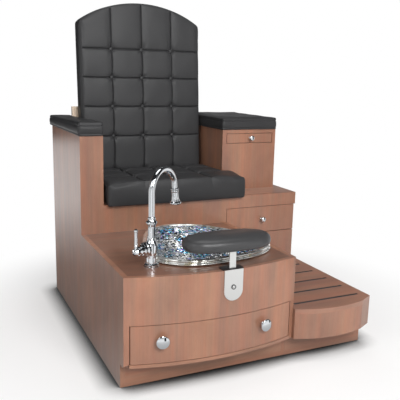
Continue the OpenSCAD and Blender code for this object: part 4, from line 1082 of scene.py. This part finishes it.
def growPiece(name, spots, build, values, finish, edges=()):
    base = bpy.data.meshes.new(name + "_base")
    base.from_pydata(spots, list(edges), [])
    tree = bpy.data.node_groups.new(name + "_spread", "GeometryNodeTree")
    tree.interface.new_socket("Geometry", in_out="OUTPUT", socket_type="NodeSocketGeometry")
    tree.interface.new_socket("Base", in_out="INPUT", socket_type="NodeSocketGeometry")
    marks = {}
    for label, value in values.items():
        kind = "NodeSocketInt" if isinstance(value, int) else "NodeSocketFloat"
        marks[label] = tree.interface.new_socket(label, in_out="INPUT", socket_type=kind).identifier
    add = partial(addNode, tree)
    real = add("RealizeInstances", {0: build(add, add("NodeGroupInput").outputs)})
    painted = add("SetMaterial", {"Geometry": real, "Material": finishes[finish]})
    add("NodeGroupOutput", {0: painted})
    piece = bpy.data.objects.new(name, base)
    scene.collection.objects.link(piece)
    spread = piece.modifiers.new("spread", "NODES")
    spread.node_group = tree
    for label, value in values.items():
        spread[marks[label]] = value if isinstance(value, int) else value * millimetre
    bakeModifier(piece, spread)
    paint(piece, finish)
    carry(piece, "cabinet")


# Ribs along each tread strip: one point per strip, and a row of ribs on every point
treadShape = {"middle": 825.5, "firstY": -5.0, "pitch": 101.5, "strips": 5, "top": 201.9,
              "sizes": {"Ribs": 4, "Rib Pitch": 3.1, "Rib Radius": 0.8, "Rib Length": 296.0}}


def buildRibs(add, given):
    rib = add("MeshCylinder", {"Vertices": 8, "Radius": given["Rib Radius"],
              "Depth": given["Rib Length"]})
    lying = add("Transform", {"Geometry": rib, "Rotation": (0.0, math.pi / 2, 0.0)})
    step = add("ShaderNodeCombineXYZ", {"Y": given["Rib Pitch"]})
    row = add("MeshLine", {"Count": given["Ribs"], "Offset": step})
    ribs = add("InstanceOnPoints", {"Points": row, "Instance": lying})
    return add("InstanceOnPoints", {"Points": given["Base"], "Instance": ribs})


ribs = treadShape["sizes"]
firstRib = treadShape["firstY"] - ribs["Rib Pitch"] * (ribs["Ribs"] - 1) / 2
growPiece("tread_strip_ribs",
          [at(treadShape["middle"], firstRib + k * treadShape["pitch"], treadShape["top"])
           for k in range(treadShape["strips"])], buildRibs, ribs, "rubber")

# Screws round the edge of the rear panel, apart from the place where its service opening is
screwShape = {"face": 1046.0, "high": [70.0, 290.0, 490.0], "columns": [40.0, 240.0, 440.0, 628.0],
              "opening": (440.0, 70.0), "sizes": {"Head Radius": 4.2, "Crown Radius": 2.604,
                                                  "Proud": 1.6, "Slot Width": 1.1}}


def buildScrews(add, given):
    head = add("MeshCone", {"Vertices": 20, "Radius Top": given["Crown Radius"],
               "Radius Bottom": given["Head Radius"], "Depth": given["Proud"]})
    facing = add("Transform", {"Geometry": head, "Rotation": (-math.pi / 2, 0.0, 0.0)})
    size = add("ShaderNodeCombineXYZ", {"X": given["Head Radius"], "Y": given["Proud"],
               "Z": given["Slot Width"]})
    recess = add("MeshCube", {"Size": size})
    lifted = add("ShaderNodeCombineXYZ", {"Y": given["Proud"]})
    placed = add("Transform", {"Geometry": recess, "Translation": lifted})
    upright = add("Transform", {"Geometry": placed, "Rotation": (0.0, math.pi / 2, 0.0)})
    cross = add("JoinGeometry", {0: [placed, upright]})
    cut = add("MeshBoolean", {"Mesh 1": facing, "Mesh 2": cross}, operation="DIFFERENCE")
    return add("InstanceOnPoints", {"Points": given["Base"], "Instance": cut})


growPiece("rear_panel_screws",
          [at(x, screwShape["face"], z) for x in screwShape["columns"] for z in screwShape["high"]
           if (x, z) != screwShape["opening"]],
          buildScrews, screwShape["sizes"], "zinc")

# Topstitching beside the upper seam of each arm pad, along a ring of the pad's own mesh
stitchShape = {"Pitch": 6.0, "Length": 4.2, "Radius": 0.42}


def buildStitches(add, given):
    seam = add("MeshToCurve", {"Mesh": given["Base"]})
    spaced = add("ResampleCurve", {"Curve": seam, "Length": given["Pitch"]}, mode="LENGTH")
    thread = add("MeshCylinder", {"Vertices": 6, "Radius": given["Radius"], "Depth": given["Length"]})
    along = add("InputTangent")
    turn = add("FunctionNodeAlignEulerToVector", {"Vector": along}, axis="Z")
    return add("InstanceOnPoints", {"Points": spaced, "Instance": thread, "Rotation": turn})


for name, spots in padSeams.items():
    growPiece(name + "_stitches", spots, buildStitches, stitchShape, "thread",
              edges=[(k, (k + 1) % len(spots)) for k in range(len(spots))])
print("repeated details made")
